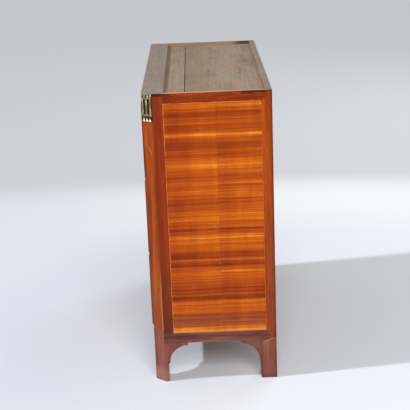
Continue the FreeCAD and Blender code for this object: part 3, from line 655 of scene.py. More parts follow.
@dataclass(frozen=True)
class SideBanding(Finish):
    """The four bands round a side's field, each with the grain along it."""

    tip: Span

    def front_stile(self) -> Figure:
        """The stile beside the cant, dark along it and darker at its foot.

        Returns:
            Its colour and relief.
        """
        recipe = self.recipe
        wood = STILE_WOOD.figure(recipe, Grain.ALONG_Z)
        paint = Paint(recipe, wood.colour)
        paint.lay(recipe.z.falling(0.2, 0.62) * 0.7, tone(108, 42, 16))
        beside_cant = (recipe.y - CANT_SIDE_Y).falling(0.003, 0.016)
        paint.lay(beside_cant * 0.4, tone(104, 36, 14))
        paint.shade(1.0 + recipe.z.rising(0.55, 0.95) * 0.14)
        paint.lay(recipe.z.falling(0.19, 0.26) * 0.5, tone(88, 42, 30))
        return Figure(paint.colour, wood.relief)

    def rear_stile(self) -> Value:
        """The mottled stile at the back, bright beside the field high up, with a dark arris.

        Returns:
            Its colour.
        """
        recipe = self.recipe
        y, z = recipe.y, recipe.z
        paint = Paint(recipe, REAR_STILE_WOOD.figure(recipe, Grain.ALONG_Z).colour)
        paint.lay(z.falling(0.2, 0.9) * 0.7, tone(138, 62, 30))
        upper = z.rising(0.68, 0.80)
        outward = (y - STRING_HIGH.y).rising(0.004, 0.028)
        paint.shade(1.03 + upper * 0.10 - outward * (0.08 + upper * 0.32))
        slanted = recipe.vector(recipe.x, y + z * 0.3, z)
        paint.shade(0.99 + recipe.noise((1.0, 0.011, 0.05), 3.0, 0.6, slanted) * 0.6)
        arris = (REAR_EDGE - y).falling(0.003, 0.010)
        paint.lay(arris * 0.6, tone(86, 34, 14))
        return paint.colour

    def top_rail(self) -> Figure:
        """The flecked rail along the top.

        Returns:
            Its colour and relief.
        """
        recipe = self.recipe
        wood = BANDING_WOOD.figure(recipe, Grain.ALONG_Y, 0.06)
        paint = Paint(recipe, wood.colour)
        crimson = (recipe.y - STRING_LOW.y).falling(0.01, 0.06)
        paint.lay(crimson * 0.5, tone(118, 34, 18))
        speckle = recipe.noise((1.0, 0.012, 0.006), 4.0, 0.7)
        paint.shade(1.01 + speckle * 1.1)
        paint.lay(speckle.rising(0.10, 0.24) * 0.4, tone(196, 92, 40))
        return Figure(paint.colour, wood.relief)

    def base_rail(self) -> Value:
        """The dark rail at the foot, darker towards the front.

        Returns:
            Its colour.
        """
        recipe = self.recipe
        paint = Paint(recipe, BASE_WOOD.figure(recipe, Grain.ALONG_Y).colour)
        paint.shade(0.75 + recipe.y.rising(-0.13, 0.03) * 0.67)
        return paint.colour

    def wear_top_edge(self, paint: Paint) -> None:
        """Rub the top edge pale, and chip it towards the back and beside the cant.

        Args:
            paint: The banding's colour so far.
        """
        recipe = self.recipe
        y, z = recipe.y, recipe.z
        ragged = recipe.noise((0.05, 0.022, 0.03), 3.0, 0.6)
        rubbed = (z + ragged * 0.004).rising(TOP - 0.0014, TOP - 0.0006) * y.rising(-0.16, -0.15)
        paint.lay(rubbed * 0.85, tone(196, 132, 98))
        chip = (z + ragged * 0.020).rising(TOP - 0.010, TOP - 0.006)
        chip = chip * y.rising(0.105, 0.135) * y.falling(0.198, 0.206)
        paint.lay(chip * 0.9, tone(52, 22, 12))
        thin = (z + ragged * 0.008).rising(TOP - 0.0045, TOP - 0.0025)
        thin = thin * (y + ragged * 0.06).rising(0.03, 0.10)
        paint.lay(thin * 0.6, tone(76, 30, 14))
        corner = (TOP - z + ragged * 0.01).falling(0.006, 0.013)
        corner = corner * (y - CANT_SIDE_Y + ragged * 0.03).falling(0.020, 0.075)
        paint.lay(corner * 0.9, tone(44, 16, 8))

    def paint(self) -> None:
        """Lay the four bands, mitred where they meet, and wear them."""
        recipe = self.recipe
        y, z = recipe.y, recipe.z
        rear_line, base_line = STRING_HIGH.y, STRING_LOW.z
        stile, rail = self.front_stile(), self.top_rail()
        paint = Paint(recipe, rail.colour)
        paint.lay((STRING_LOW.y - y).past(0.0), stile.colour)
        mitre_rise = (TOP - STRING_HIGH.z) / (REAR_EDGE - rear_line)
        above_mitre = ((z - STRING_HIGH.z) - (y - rear_line) * mitre_rise).past(0.0)
        paint.lay((y - rear_line).past(0.0) * (1.0 - above_mitre), self.rear_stile())
        outside = (STRING_LOW.y - y).most(y - rear_line).most(z - STRING_HIGH.z)
        paint.lay(outside.falling(0.001, 0.003) * 0.5, tone(62, 20, 8))
        tip_fall = (base_line - self.tip[1]) / (self.tip[0] - rear_line)
        base_mitre = base_line - (y - rear_line).most(0.0) * tip_fall
        paint.lay((base_mitre - z).past(0.0), self.base_rail())
        self.wear_top_edge(paint)
        wood = Figure(paint.colour, stile.relief.least(rail.relief))
        recipe.polished(wood, Polish.FRENCH, recipe.noise(0.05, 3.0) * 0.18)


@dataclass(frozen=True)
class CantVeneer(Finish):
    """Upright veneer on the canted corners, with a curl in the grain, a pale arris low down and a painted
    shadow along the front edge.
    """

    curl: float

    def paint(self) -> None:
        """Lay the figure and the curl, make the side edge pale low down, and paint the drawer fronts'
        shadow along the front edge.
        """
        recipe = self.recipe
        x, y, z = recipe.x, recipe.y, recipe.z
        width = CANT.length
        across = ((abs(x) - CANT_FRONT_X) * CANT.x + (y - FRONT_LINE) * CANT.y) / width
        wood = CANT_WOOD.figure(recipe, Grain.ALONG_Z)
        paint = Paint(recipe, wood.colour)
        paint.shade(1.0 + z.rising(0.6, 0.9) * 0.05)
        paint.lay(z.falling(0.2, 0.5) * 0.55, tone(138, 70, 40))
        flame = recipe.noise((0.012, 0.012, 0.07), 2.0, 0.6).rising(0.05, 0.2)
        paint.lay(flame * 0.3, tone(184, 98, 36))
        slant = y - CANT_MIDDLE.y + (z - self.curl) * 0.28
        reach = z.near(self.curl, 0.006, 0.020) * x.rising(0.0, CANT_FRONT_X)
        paint.lay(slant.near(0.004, 0.001, 0.005) * reach * 0.5, tone(206, 120, 52))
        paint.lay(slant.near(-0.005, 0.0005, 0.0035) * reach * 0.6, tone(108, 48, 14))
        dim = across.rising(width - 0.016, width - 0.004) * z.rising(0.40, 0.52)
        paint.lay(dim * 0.4, tone(124, 50, 18))
        arris = across.rising(width - 0.006, width - 0.003) * z.falling(0.30, 0.46)
        paint.lay(arris * 0.55, tone(206, 138, 88))
        # Painted shadow that the drawer fronts cast along the cant's front edge.
        paint.lay(across.falling(0.0, 0.004) * 0.4, tone(70, 36, 22))
        worn = recipe.noise(0.05, 3.0) * 0.18
        recipe.polished(Figure(paint.colour, wood.relief), Polish.FRENCH, worn)


@dataclass(frozen=True)
class Inlay(Finish):
    """Thin pale stringing, dull along the rear and clean along the foot."""

    def paint(self) -> None:
        """Lay the worn line."""
        recipe = self.recipe
        worn = recipe.noise(0.02, 3.0)
        ground = recipe.ramp(worn + 0.5, (0.3, tone(170, 80, 18)), (0.65, tone(230, 140, 60)))
        paint = Paint(recipe, ground)
        rear = recipe.y.rising(STRING_HIGH.y - 0.003, STRING_HIGH.y - 0.002)
        paint.lay(rear * (0.55 + worn), tone(176, 78, 22))
        paint.lay(recipe.z.falling(FIELD_FOOT, FIELD_FOOT + 0.002) * 0.7, tone(222, 172, 124))
        recipe.surface(paint.colour, 0.36 + worn * 0.2, coat=Polish.FRENCH.coat)


@dataclass(frozen=True)
class FrontVeneer(Finish):
    """A drawer front or the leaf: bead, banding, stringing and a book-matched field."""

    node: str
    wood: FieldWood
    inner: Timber
    above: float = 0.0
    bead: float = 0.0034
    banding: float = 0.0365
    stringing: float = 0.002

    def field(self) -> Value:
        """The striped field, the same on both sides of the middle.

        Returns:
            Its colour.
        """
        recipe = self.recipe
        book = recipe.vector(abs(recipe.x), recipe.y, recipe.z)
        waver = recipe.z + recipe.noise((0.30, 1.0, 0.10), 2.0, 0.5, book) * 0.03
        drawn = recipe.vector(abs(recipe.x), recipe.y, waver)
        bands = recipe.noise((0.9, 1.0, 0.035), 2.0, 0.5, drawn)
        fine, flecks = self.wood.stripes(recipe, Grain.ALONG_X, drawn, 1.2, 0.75)
        return recipe.blend(flecks * 0.2, self.wood.colour(recipe, 0.46 + bands + fine), self.wood.dark)

    def paint(self) -> None:
        """Lay the bands from the edge inwards, on the front face alone."""
        recipe = self.recipe
        low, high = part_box(self.node)
        wide = high.x - abs(recipe.x)
        tall = (recipe.z - low.z - self.above).least(high.z - recipe.z)
        inside = wide.least(tall)
        ends = BANDING_WOOD.figure(recipe, Grain.ALONG_Z)
        rails = BANDING_WOOD.figure(recipe, Grain.ALONG_X)
        string_at = self.bead + self.banding
        face = Paint(recipe, MAHOGANY.deep)
        face.lay(inside.past(self.bead), recipe.blend((tall - wide).past(0.0), rails.colour, ends.colour))
        face.lay(inside.past(string_at), FRONT_STRING)
        face.lay(inside.past(string_at + self.stringing), self.field())
        plain = self.inner.figure(recipe, Grain.ALONG_X)
        veneered = recipe.y.falling(FRONT_FACE + 0.0006, FRONT_FACE + 0.0012)
        colour = recipe.blend(veneered, plain.colour, face.colour)
        roughness = Polish.FRENCH.roughness + (1.0 - veneered) * 0.18 + recipe.noise(0.06, 3.0) * 0.16
        relief = rails.relief.least(plain.relief)
        recipe.surface(colour, roughness, relief, coat=veneered * Polish.FRENCH.coat)


@dataclass(frozen=True)
class BareTop(Finish):
    """The unpolished boarded top that the slab lay on, with polish on its front edge."""

    rail_line: float
    joint: float
    rear_line: float

    def stain(self, paint: Paint, dust: Value) -> None:
        """Stain the rails and boards along their lines, with some painted shade beside the front rail.

        Args:
            paint: The top's colour so far.
            dust: Fine noise that breaks the stains up.
        """
        recipe = self.recipe
        x, y = recipe.x, recipe.y
        rail = y.falling(self.rail_line - 0.004, self.rail_line)
        paint.lay(rail * 0.45, tone(144, 134, 130))
        boards = (1.0 - rail) * y.falling(self.rear_line - 0.002, self.rear_line)
        paint.lay(abs(x).rising(0.38, 0.44) * boards * 0.3, tone(146, 140, 116))
        paint.lay(abs(x).rising(0.475, 0.515) * boards * 0.7, tone(192, 140, 110))
        outer = y.rising(self.rear_line + 0.006, self.rear_line + 0.016)
        paint.lay(outer * 0.3, tone(118, 114, 108))
        # Olive strip beside the front rail: partly the boards' own tone, partly painted shade of the rail's
        # step.
        olive = y.rising(self.rail_line - 0.002, self.rail_line)
        olive = olive * y.falling(self.rail_line + 0.008, self.rail_line + 0.016)
        paint.lay(olive * (0.4 + dust), tone(140, 124, 84))
        paint.lay(y.near(self.rear_line, 0.004, 0.018) * 0.2, tone(160, 124, 100))
        specks = recipe.noise((0.016, 0.007, 0.016)).rising(0.16, 0.26)
        paint.lay(specks * 0.45, tone(206, 164, 112))
        damp = y.rising(self.joint - 0.001, self.joint) * y.falling(self.joint + 0.03, self.joint + 0.10)
        paint.lay(damp * (0.35 + dust), tone(134, 116, 84))

    def paint(self) -> None:
        """Lay the weathered oak, its stains and the polished front edge."""
        recipe = self.recipe
        patches = recipe.noise((0.22, 0.06, 0.22), 4.0, 0.6)
        grain = recipe.noise((0.28, 0.006, 0.006), 3.0, 0.6)
        fibre = recipe.noise((0.05, 0.0016, 0.0016), 2.0, 0.6)
        dust = recipe.noise(0.012, 3.0, 0.7)
        ground = recipe.ramp(
            0.48 + patches * 0.9 + grain * 0.4 + dust * 0.6,
            (0.2, tone(132, 112, 90)),
            (0.45, tone(162, 144, 124)),
            (0.6, tone(170, 148, 128)),
            (0.85, tone(192, 166, 132)),
        )
        paint = Paint(recipe, ground)
        mossy = recipe.noise((0.07, 0.03, 0.07), 3.0, 0.6).rising(0.02, 0.2)
        paint.lay(mossy * 0.6, tone(146, 130, 92))
        elsewhere = recipe.vector(recipe.x + 3.0, recipe.y + 1.0, recipe.z)
        rosy = recipe.noise((0.09, 0.04, 0.09), 3.0, 0.6, elsewhere).rising(0.02, 0.2)
        paint.lay(rosy * 0.6, tone(182, 142, 120))
        self.stain(paint, dust)
        darker_patch = recipe.noise((0.10, 0.035, 0.1), 3.0, 0.6).rising(0.12, 0.26)
        paint.lay(darker_patch * 0.25, tone(120, 106, 80))
        paint.shade(0.905 + fibre * 0.5 + grain * 0.25)
        front = recipe.y.falling(FRONT_LINE + 0.0004, FRONT_LINE + 0.001)
        paint.lay(front, MAHOGANY.figure(recipe, Grain.ALONG_X).colour)
        roughness = 0.82 - front * 0.44 + dust * 0.1
        relief = (0.5 + fibre * 0.8 + grain * 0.6).least(1.0)
        recipe.surface(paint.colour, roughness, relief, 0.0008, coat=front * Polish.FRENCH.coat)


@dataclass(frozen=True)
class SideBoard(Finish):
    """Oak side boards whose bare top edge shows as a pale warm line."""

    def paint(self) -> None:
        """Lay the oak, the inside of the lip, a darker patch towards the back on the left, and the lip
        itself.
        """
        recipe = self.recipe
        wood = OAK.figure(recipe, Grain.ALONG_Z)
        paint = Paint(recipe, wood.colour)
        lip = recipe.z.rising(TOP - 0.0006, TOP - 0.0002)
        paint.lay(recipe.z.rising(0.98, 1.0) * (1.0 - lip), tone(176, 146, 122))
        ragged = recipe.noise((0.006, 0.05, 0.05), 3.0, 0.6)
        # Darker towards the back on the inside of the left board's lip.
        darker_patch = recipe.x.falling(-0.1, 0.1) * (recipe.y + ragged * 0.02).rising(0.12, 0.17)
        paint.lay(darker_patch * 0.85, tone(70, 50, 38))
        bare = recipe.ramp(ragged + 0.5, (0.3, tone(206, 148, 116)), (0.7, tone(232, 178, 146)))
        paint.lay(lip, recipe.blend(recipe.x.rising(-0.1, 0.1), tone(172, 152, 132), bare))
        recipe.surface(paint.colour, 0.7 + ragged * 0.2, wood.relief, 0.0002)


@dataclass(frozen=True)
class BackOak(Finish):
    """Upright back boards of unlike tone, with grime in their joints and along the foot."""

    node: str
    boards: int = 3

    def paint(self) -> None:
        """Lay the boards, their stains and the grime."""
        recipe = self.recipe
        low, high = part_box(self.node)
        x, z = recipe.x, recipe.z
        joint = (high.x - low.x) / self.boards / 2
        middle = 1.0 - abs(x).past(joint, 0.0004)
        right = x.past(joint, 0.0004)
        drawn = recipe.vector(x + middle * 0.37, recipe.y, z + middle * 1.3 + right * 2.1)
        wood = BACK_OAK.figure(recipe, Grain.ALONG_Z, middle * 0.16 - right * 0.10, drawn)
        paint = Paint(recipe, wood.colour)
        stain = recipe.noise((0.09, 0.09, 0.30), 4.0, 0.6, drawn).rising(0.05, 0.3)
        paint.lay(stain * 0.3, tone(96, 78, 60))
        damp = (z - low.z + stain * 0.03).falling(0.02, 0.16)
        paint.lay(damp * 0.35, tone(88, 68, 50))
        paint.lay(abs(x).near(joint, 0.0005, 0.006) * 0.6, tone(54, 40, 28))
        recipe.polished(Figure(paint.colour, wood.relief), Polish.BARE, stain * 0.1, 0.0002)


@dataclass(frozen=True)
class EdgeFaced(Finish):
    """Oak boards with a polished facing on their front edge."""

    front_line: float
    grain: Grain

    def paint(self) -> None:
        """Lay the oak and its facing."""
        recipe = self.recipe
        oak = OAK.figure(recipe, self.grain)
        facing = MAHOGANY.figure(recipe, self.grain)
        front = recipe.facing(self.front_line)
        wood = Figure(recipe.blend(front, oak.colour, facing.colour), oak.relief)
        recipe.faced(wood, front, 0.0002)


@dataclass(frozen=True)
class DrawerBox(Finish):
    """Oak drawer lining: sides with the grain front to back, back and bottom with it across."""

    node: str
    wall: float
    facing: Optional[float] = None

    def paint(self) -> None:
        """Lay the oak, worn below and handled above, and any facing on its front edges."""
        recipe = self.recipe
        low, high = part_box(self.node)
        middle = (low.x + high.x) / 2
        side = abs(recipe.x - middle).past(high.x - middle - self.wall, 0.0004)
        across = OAK.figure(recipe, Grain.ALONG_X)
        along = OAK.figure(recipe, Grain.ALONG_Y)
        relief = across.relief.least(along.relief)
        paint = Paint(recipe, recipe.blend(side, across.colour, along.colour))
        paint.lay((recipe.z - low.z).falling(0.0, 0.012) * 0.4, tone(112, 84, 56))
        paint.lay((high.z - recipe.z).falling(0.0, 0.006) * 0.35, tone(96, 70, 46))
        if self.facing is None:
            recipe.surface(paint.colour, Polish.DRY.roughness, relief, 0.0002)
            return
        front = recipe.facing(self.facing)
        paint.lay(front, MAHOGANY.figure(recipe, Grain.ALONG_Z).colour)
        recipe.faced(Figure(paint.colour, relief), front, 0.0002)


@dataclass(frozen=True)
class SmallDrawerWood(Finish):
    """Small drawer: veneered front with a pale line, dark turned knob, oak lining."""

    node: str
    wood: FieldWood
    knob: float = 0.015
    edge: float = 0.009
    line: float = 0.0016

    def paint(self) -> None:
        """Lay the front, then the lining behind it and the knob before it."""
        recipe = self.recipe
        low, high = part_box(self.node)
        y, z = recipe.y, recipe.z
        middle = (low.x + high.x) / 2
        wide = (high.x - middle) - abs(recipe.x - middle)
        inside = wide.least((z - low.z).least(high.z - z))
        bands = recipe.noise((0.4, 1.0, 0.02))
        lines = recipe.noise((0.3, 1.0, 0.004), 3.0, 0.6)
        within = inside.past(self.edge)
        front = Paint(recipe, MAHOGANY.figure(recipe, Grain.ALONG_X).colour)
        front.lay(within, self.wood.colour(recipe, 0.45 + bands * 0.9 + lines * 0.6))
        front.lay(within * (1.0 - inside.past(self.edge + self.line)), FRONT_STRING)
        face = low.y + self.knob
        shown = y.falling(face + 0.0004, face + 0.001)
        oak = OAK.figure(recipe, Grain.ALONG_Y)
        paint = Paint(recipe, recipe.blend(shown, oak.colour, front.colour))
        turned = KNOB_WOOD.figure(recipe, Grain.ALONG_Y)
        paint.lay(y.falling(face - 0.0006, face - 0.0002), turned.colour)
        recipe.faced(Figure(paint.colour, oak.relief), shown, 0.00015)


@dataclass(frozen=True)
class GiltBronze(Finish):
    """Gilt bronze, bright where it stands proud and dark olive in its recesses."""

    origin: Sizes
    normal: Sizes
    recess: float
    proud: float
    paired: bool = False
    highlighted_under: Optional[float] = None

    def paint(self) -> None:
        """Lay the gilding by how far it stands proud, tarnished in places."""
        recipe = self.recipe
        x, y, z = recipe.x, recipe.y, recipe.z
        aside = abs(x) if self.paired else x
        rise = (aside - self.origin[0]) * self.normal[0] + (y - self.origin[1]) * self.normal[1]
        mottle = recipe.noise(0.004, 3.0, 0.6)
        tarnish = recipe.noise((0.010, 0.010, 0.022), 3.0, 0.6)
        level = tarnish * 1.4 + mottle * 0.5 + 0.5
        if self.highlighted_under is not None:
            # Painted highlight: the drops are laid brighter where they catch the light, and the mount's top
            # a little brighter too.
            level = level + z.falling(self.highlighted_under - 0.006, self.highlighted_under) * 0.5
            level = level + z.rising(TOP - 0.016, TOP - 0.006) * 0.25
        tones = (0.25, tone(112, 98, 62)), (0.55, tone(172, 154, 108)), (0.9, tone(246, 232, 196))
        bright = (rise + mottle * 0.0012).rising(self.recess, self.proud)
        colour = recipe.blend(bright, tone(40, 31, 10), recipe.ramp(level, *tones))
        roughness = 0.55 - bright * 0.2 + mottle * 0.2
        recipe.surface(colour, roughness, mottle + 0.5, 0.00012, metal=0.6, gloss=0.5)


@dataclass(frozen=True)
class BareMetal(Finish):
    """Brass or iron with handling marks and darker spots."""

    clean: Colour
    dull: Colour
    roughness: float

    def paint(self) -> None:
        """Lay the spots and the marks of the brush."""
        recipe = self.recipe
        mottle = recipe.noise(0.006, 4.0, 0.65)
        brushed = recipe.noise((0.012, 0.0006, 0.0006))
        colour = recipe.ramp(mottle + brushed * 0.4 + 0.5, (0.3, self.dull), (0.65, self.clean))
        recipe.surface(colour, self.roughness + mottle * 0.3, brushed + 0.5, 0.00005, metal=1.0)


@dataclass(frozen=True)
class TooledLeather(Finish):
    """Green leather with a gilt tooled border."""

    node: str
    inset: float = 0.014
    line: float = 0.0012
    pitch: float = 0.009
    pebbles: float = 700.0

    def border(self) -> Value:
        """Two gilt lines with a row of beads between them, rubbed in places.

        Returns:
            A mask that is 1 on the gilding.
        """
        recipe = self.recipe
        low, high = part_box(self.node)
        x, z = recipe.x, recipe.z
        inside = (high.x - abs(x)).least((z - low.z).least(high.z - z))
        outer = inside.near(self.inset, self.line * 0.5, self.line * 0.8)
        inner = inside.near(self.inset + self.pitch, self.line * 0.3, self.line * 0.6)
        turn = 2 * math.pi / self.pitch
        beads = ((x * turn).wave() * (z * turn).wave()).rising(0.15, 0.45)
        row = inside.near(self.inset + self.pitch / 2, self.pitch * 0.25, self.pitch * 0.32)
        return outer.most(inner).most(beads * row) * recipe.noise(0.03, 3.0).rising(-0.22, 0.05)

    def paint(self) -> None:
        """Lay the hide, its grain and the border."""
        recipe = self.recipe
        gilt = self.border()
        sockets = {"Vector": recipe.place, "Scale": self.pebbles}
        settings = {"feature": "DISTANCE_TO_EDGE"}
        grain = recipe.node("ShaderNodeTexVoronoi", settings, sockets, "Distance")
        hide = recipe.noise(0.09, 4.0)
        paint = Paint(recipe, recipe.ramp(hide + 0.5, (0.3, tone(34, 52, 36)), (0.7, tone(58, 82, 54))))
        paint.lay(grain.falling(0.0, 0.12) * 0.3, tone(24, 36, 26))
        paint.lay(gilt, tone(206, 166, 92))
        relief = grain.rising(0.0, 0.25) - gilt * 0.5
        recipe.surface(paint.colour, 0.5 - gilt * 0.14, relief, 0.00025, metal=gilt * 0.9)


class Bench:
    """The hand tools: each works on one new piece at a time."""

    @staticmethod
    def clear() -> None:
        """Let go of everything."""
        if bpy.context.mode != "OBJECT":
            bpy.ops.object.mode_set(mode="OBJECT")
        bpy.ops.object.select_all(action="DESELECT")

    @staticmethod
    def hold(*pieces: Piece) -> None:
        """Select pieces and make the first one active.

        Args:
            pieces: What is taken in hand.
        """
        Bench.clear()
        for piece in pieces:
            piece.select_set(True)
        bpy.context.view_layer.objects.active = pieces[0]

    @staticmethod
    def pick(piece: Piece, test: Callable[[bpy.types.MeshPolygon], bool]) -> None:
        """Go into edit mode with only the faces that pass the test selected.

        Args:
            piece: The mesh that is worked on.
            test: Says whether a face is wanted.
        """
        Bench.hold(piece)
        bpy.ops.object.mode_set(mode="EDIT")
        bpy.ops.mesh.select_mode(type="FACE")
        bpy.ops.mesh.select_all(action="DESELECT")
        bpy.ops.object.mode_set(mode="OBJECT")
        for face in piece.data.polygons:
            face.select = test(face)
        bpy.ops.object.mode_set(mode="EDIT")

    @staticmethod
    def seat(piece: Piece) -> None:
        """Put a piece's place into its mesh."""
        Bench.hold(piece)
        bpy.ops.object.transform_apply(location=True, rotation=True, scale=True)

    @staticmethod
    def block(size: Sizes, middle: Sizes) -> Piece:
        """Cut a squared block.

        Args:
            size: Its three sides.
            middle: Where its middle lies.

        Returns:
            The block.
        """
        Bench.clear()
        bpy.ops.mesh.primitive_cube_add(size=1.0, location=middle)
        block = bpy.context.object
        block.scale = size
        Bench.seat(block)
        return block

    @staticmethod
    def disc(sides: int, radius: float, rise: float) -> Piece:
        """Turn a low disc that faces +Y, and go into edit mode with its front face selected.

        Args:
            sides: How many sides it has.
            radius: Its radius.
            rise: Half its thickness.

        Returns:
            The disc, about the origin.
        """
        Bench.clear()
        upright = (math.pi / 2, 0, 0)
        bpy.ops.mesh.primitive_cylinder_add(vertices=sides, radius=radius, depth=2 * rise, rotation=upright)
        disc = bpy.context.object
        Bench.seat(disc)
        Bench.pick(disc, lambda face: face.normal.y > SQUARE_ON)
        return disc

    @staticmethod
    def set_out(pattern: Piece, places: Iterable[Matrix]) -> list[Piece]:
        """Copy a pattern, each copy with its own mesh, and put the pattern away.

        Args:
            pattern: The piece about the origin.
            places: Where the copies go.

        Returns:
            The copies.
        """
        copies = []
        for place in places:
            twin = pattern.copy()
            twin.data = pattern.data.copy()
            twin.data.transform(place)
            bpy.context.scene.collection.objects.link(twin)
            copies.append(twin)
        bpy.data.objects.remove(pattern)
        return copies

    @staticmethod
    def hand_over(pieces: list[Piece], name: str, body: str, slot: str, material: Material) -> None:
        """Make one piece of its parts, then name it, smooth it, dress it and seat it on its body.

        Args:
            pieces: The finished parts.
            name: The piece's name.
            body: The CAD body that carries it.
            slot: Not used.
            material: Its finish.
        """
        Bench.hold(*pieces)
        if len(pieces) > 1:
            bpy.ops.object.join()
        piece = bpy.context.view_layer.objects.active
        piece.name = name
        piece.data.name = name
        bpy.ops.object.shade_smooth_by_angle(angle=EASED)
        piece.data.materials.clear()
        piece.data.materials.append(material)
        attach(piece, body)
        LOG.info("%s rides on %s with %d faces", piece.name, body, len(piece.data.polygons))


@dataclass
class PullOrnament:
    """Beads and petals cast on a round pull plate."""

    name: str
    body: str
    centre: Vector
    bead: float = 0.00095
    bead_circle: float = 0.0247
    bead_rise: float = 0.0018
    beads: int = 30
    eye_gap: float = 0.30
    petal: Sizes = (0.0022, 0.0011, 0.0042)
    petal_circle: float = 0.0135
    petal_rise: float = 0.0014
    petals: int = 8
    back: float = 0.2

    def dome(self, size: Sizes) -> Piece:
        """A half-round boss with a flat back and an eased foot.

        Args:
            size: Its half width, rise and half height.

        Returns:
            The boss at the origin, facing -Y.
        """
        Bench.clear()
        bpy.ops.mesh.primitive_uv_sphere_add(segments=8, ring_count=6, radius=1.0)
        boss = bpy.context.object
        bpy.ops.object.mode_set(mode="EDIT")
        bpy.ops.mesh.select_all(action="SELECT")
        bpy.ops.transform.resize(value=size)
        flat = (0, size[1] * self.back, 0)
        bpy.ops.mesh.bisect(plane_co=flat, plane_no=(0, 1, 0), clear_outer=True, use_fill=True)
        bpy.ops.object.mode_set(mode="OBJECT")
        return boss

    def around(self, count: int, circle: float, rise: float, gap: float = 0.0) -> list[Matrix]:
        """Places around the plate.

        Args:
            count: How many there are all round.
            circle: Radius of the circle that they stand on.
            rise: How far in front of the plate's back they start.
            gap: Angle left free at the top, each way, in radians.

        Returns:
            The places outside the gap.
        """
        front = Matrix.Translation(self.centre + Vector((0, -rise, 0)))
        out = Matrix.Translation((0, 0, circle))
        angles = (2 * math.pi * (index + 0.5) / count for index in range(count))
        kept = (angle for angle in angles if min(angle, 2 * math.pi - angle) >= gap)
        return [front @ Matrix.Rotation(angle, 4, "Y") @ out for angle in kept]

    def build(self, material: Material) -> None:
        """Model the ornament and seat it on its plate.

        Args:
            material: Its finish.
        """
        bead = self.dome((self.bead, self.bead, self.bead))
        ring = self.around(self.beads, self.bead_circle, self.bead_rise, self.eye_gap)
        pieces = Bench.set_out(bead, ring)
        flower = self.around(self.petals, self.petal_circle, self.petal_rise)
        pieces += Bench.set_out(self.dome(self.petal), flower)
        Bench.hand_over(pieces, self.name, self.body, "gilt_bronze", material)


@dataclass
class CockBead:
    """Rounded bead let in round the edge of a front.

    The leaf turns on its lower edge, so there the bead stays above the turn.
    """

    name: str
    body: str
    node: str
    above: float = 0.0
    width: float = 0.0032
    rise: float = 0.0014
    sunk: float = 0.0006
    rounded: float = 0.68

    def build(self, material: Material) -> None:
        """Model the bead as a mitred frame and seat it on its front.

        Args:
            material: Its finish.
        """
        low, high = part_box(self.node)
        foot = low.z + self.above
        size = (high.x - low.x, self.rise + self.sunk, high.z - foot)
        bead = Bench.block(size, (0.0, FRONT_FACE + (self.sunk - self.rise) / 2, (foot + high.z) / 2))
        Bench.pick(bead, lambda face: abs(face.normal.y) > SQUARE_ON)
        bpy.ops.mesh.inset(thickness=self.width)
        bpy.ops.mesh.delete(type="FACE")
        bpy.ops.mesh.select_mode(type="EDGE")
        bpy.ops.mesh.select_all(action="DESELECT")
        bpy.ops.mesh.select_non_manifold()
        bpy.ops.mesh.bridge_edge_loops()
        bpy.ops.mesh.select_all(action="SELECT")
        bpy.ops.mesh.normals_make_consistent(inside=False)
        bpy.ops.object.mode_set(mode="OBJECT")
        ease = bead.modifiers.new("ease", "BEVEL")
        ease.width = self.rise * self.rounded
        ease.segments = 3
        ease.limit_method = "ANGLE"
        ease.angle_limit = EASED
        bpy.ops.object.modifier_apply(modifier=ease.name)
        Bench.hand_over([bead], self.name, self.body, "mahogany", material)


@dataclass
class LockScrews:
    """Four slotted screws that hold a lock case in its front."""

    name: str
    body: str
    lock: str
    radius: float = 0.0026
    rise: float = 0.0008
    inset: float = 0.006
    slot: float = 0.0006
    sides: int = 16
    rounded: float = 0.4

    def screw(self) -> Piece:
        """One screw head with an eased rim and a slot.

        Returns:
            The head at the origin, facing +Y.
        """
        head = Bench.disc(self.sides, self.radius, self.rise)
        bpy.ops.mesh.bevel(offset=self.rise * self.rounded, segments=2, affect="EDGES")
        bpy.ops.object.mode_set(mode="OBJECT")
        saw = Bench.block((3 * self.radius, self.rise, self.slot), (0, self.rise, 0))
        Bench.hold(head)
        cut = head.modifiers.new("slot", "BOOLEAN")
        cut.operation = "DIFFERENCE"
        cut.object = saw
        bpy.ops.object.modifier_apply(modifier=cut.name)
        bpy.data.objects.remove(saw)
        return head

    def build(self, material: Material) -> None:
        """Model the screws and seat them on the lock's inner face, each turned its own way.

        Args:
            material: Their finish.
        """
        low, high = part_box(self.lock)
        places = []
        for column, x in enumerate((low.x + self.inset, high.x - self.inset)):
            for row, z in enumerate((low.z + self.inset, high.z - self.inset)):
                turn = Matrix.Rotation(0.7 * column + 1.3 * row + 0.3, 4, "Y")
                places.append(Matrix.Translation((x, high.y, z)) @ turn)
        screws = Bench.set_out(self.screw(), places)
        Bench.hand_over(screws, self.name, self.body, "iron", material)


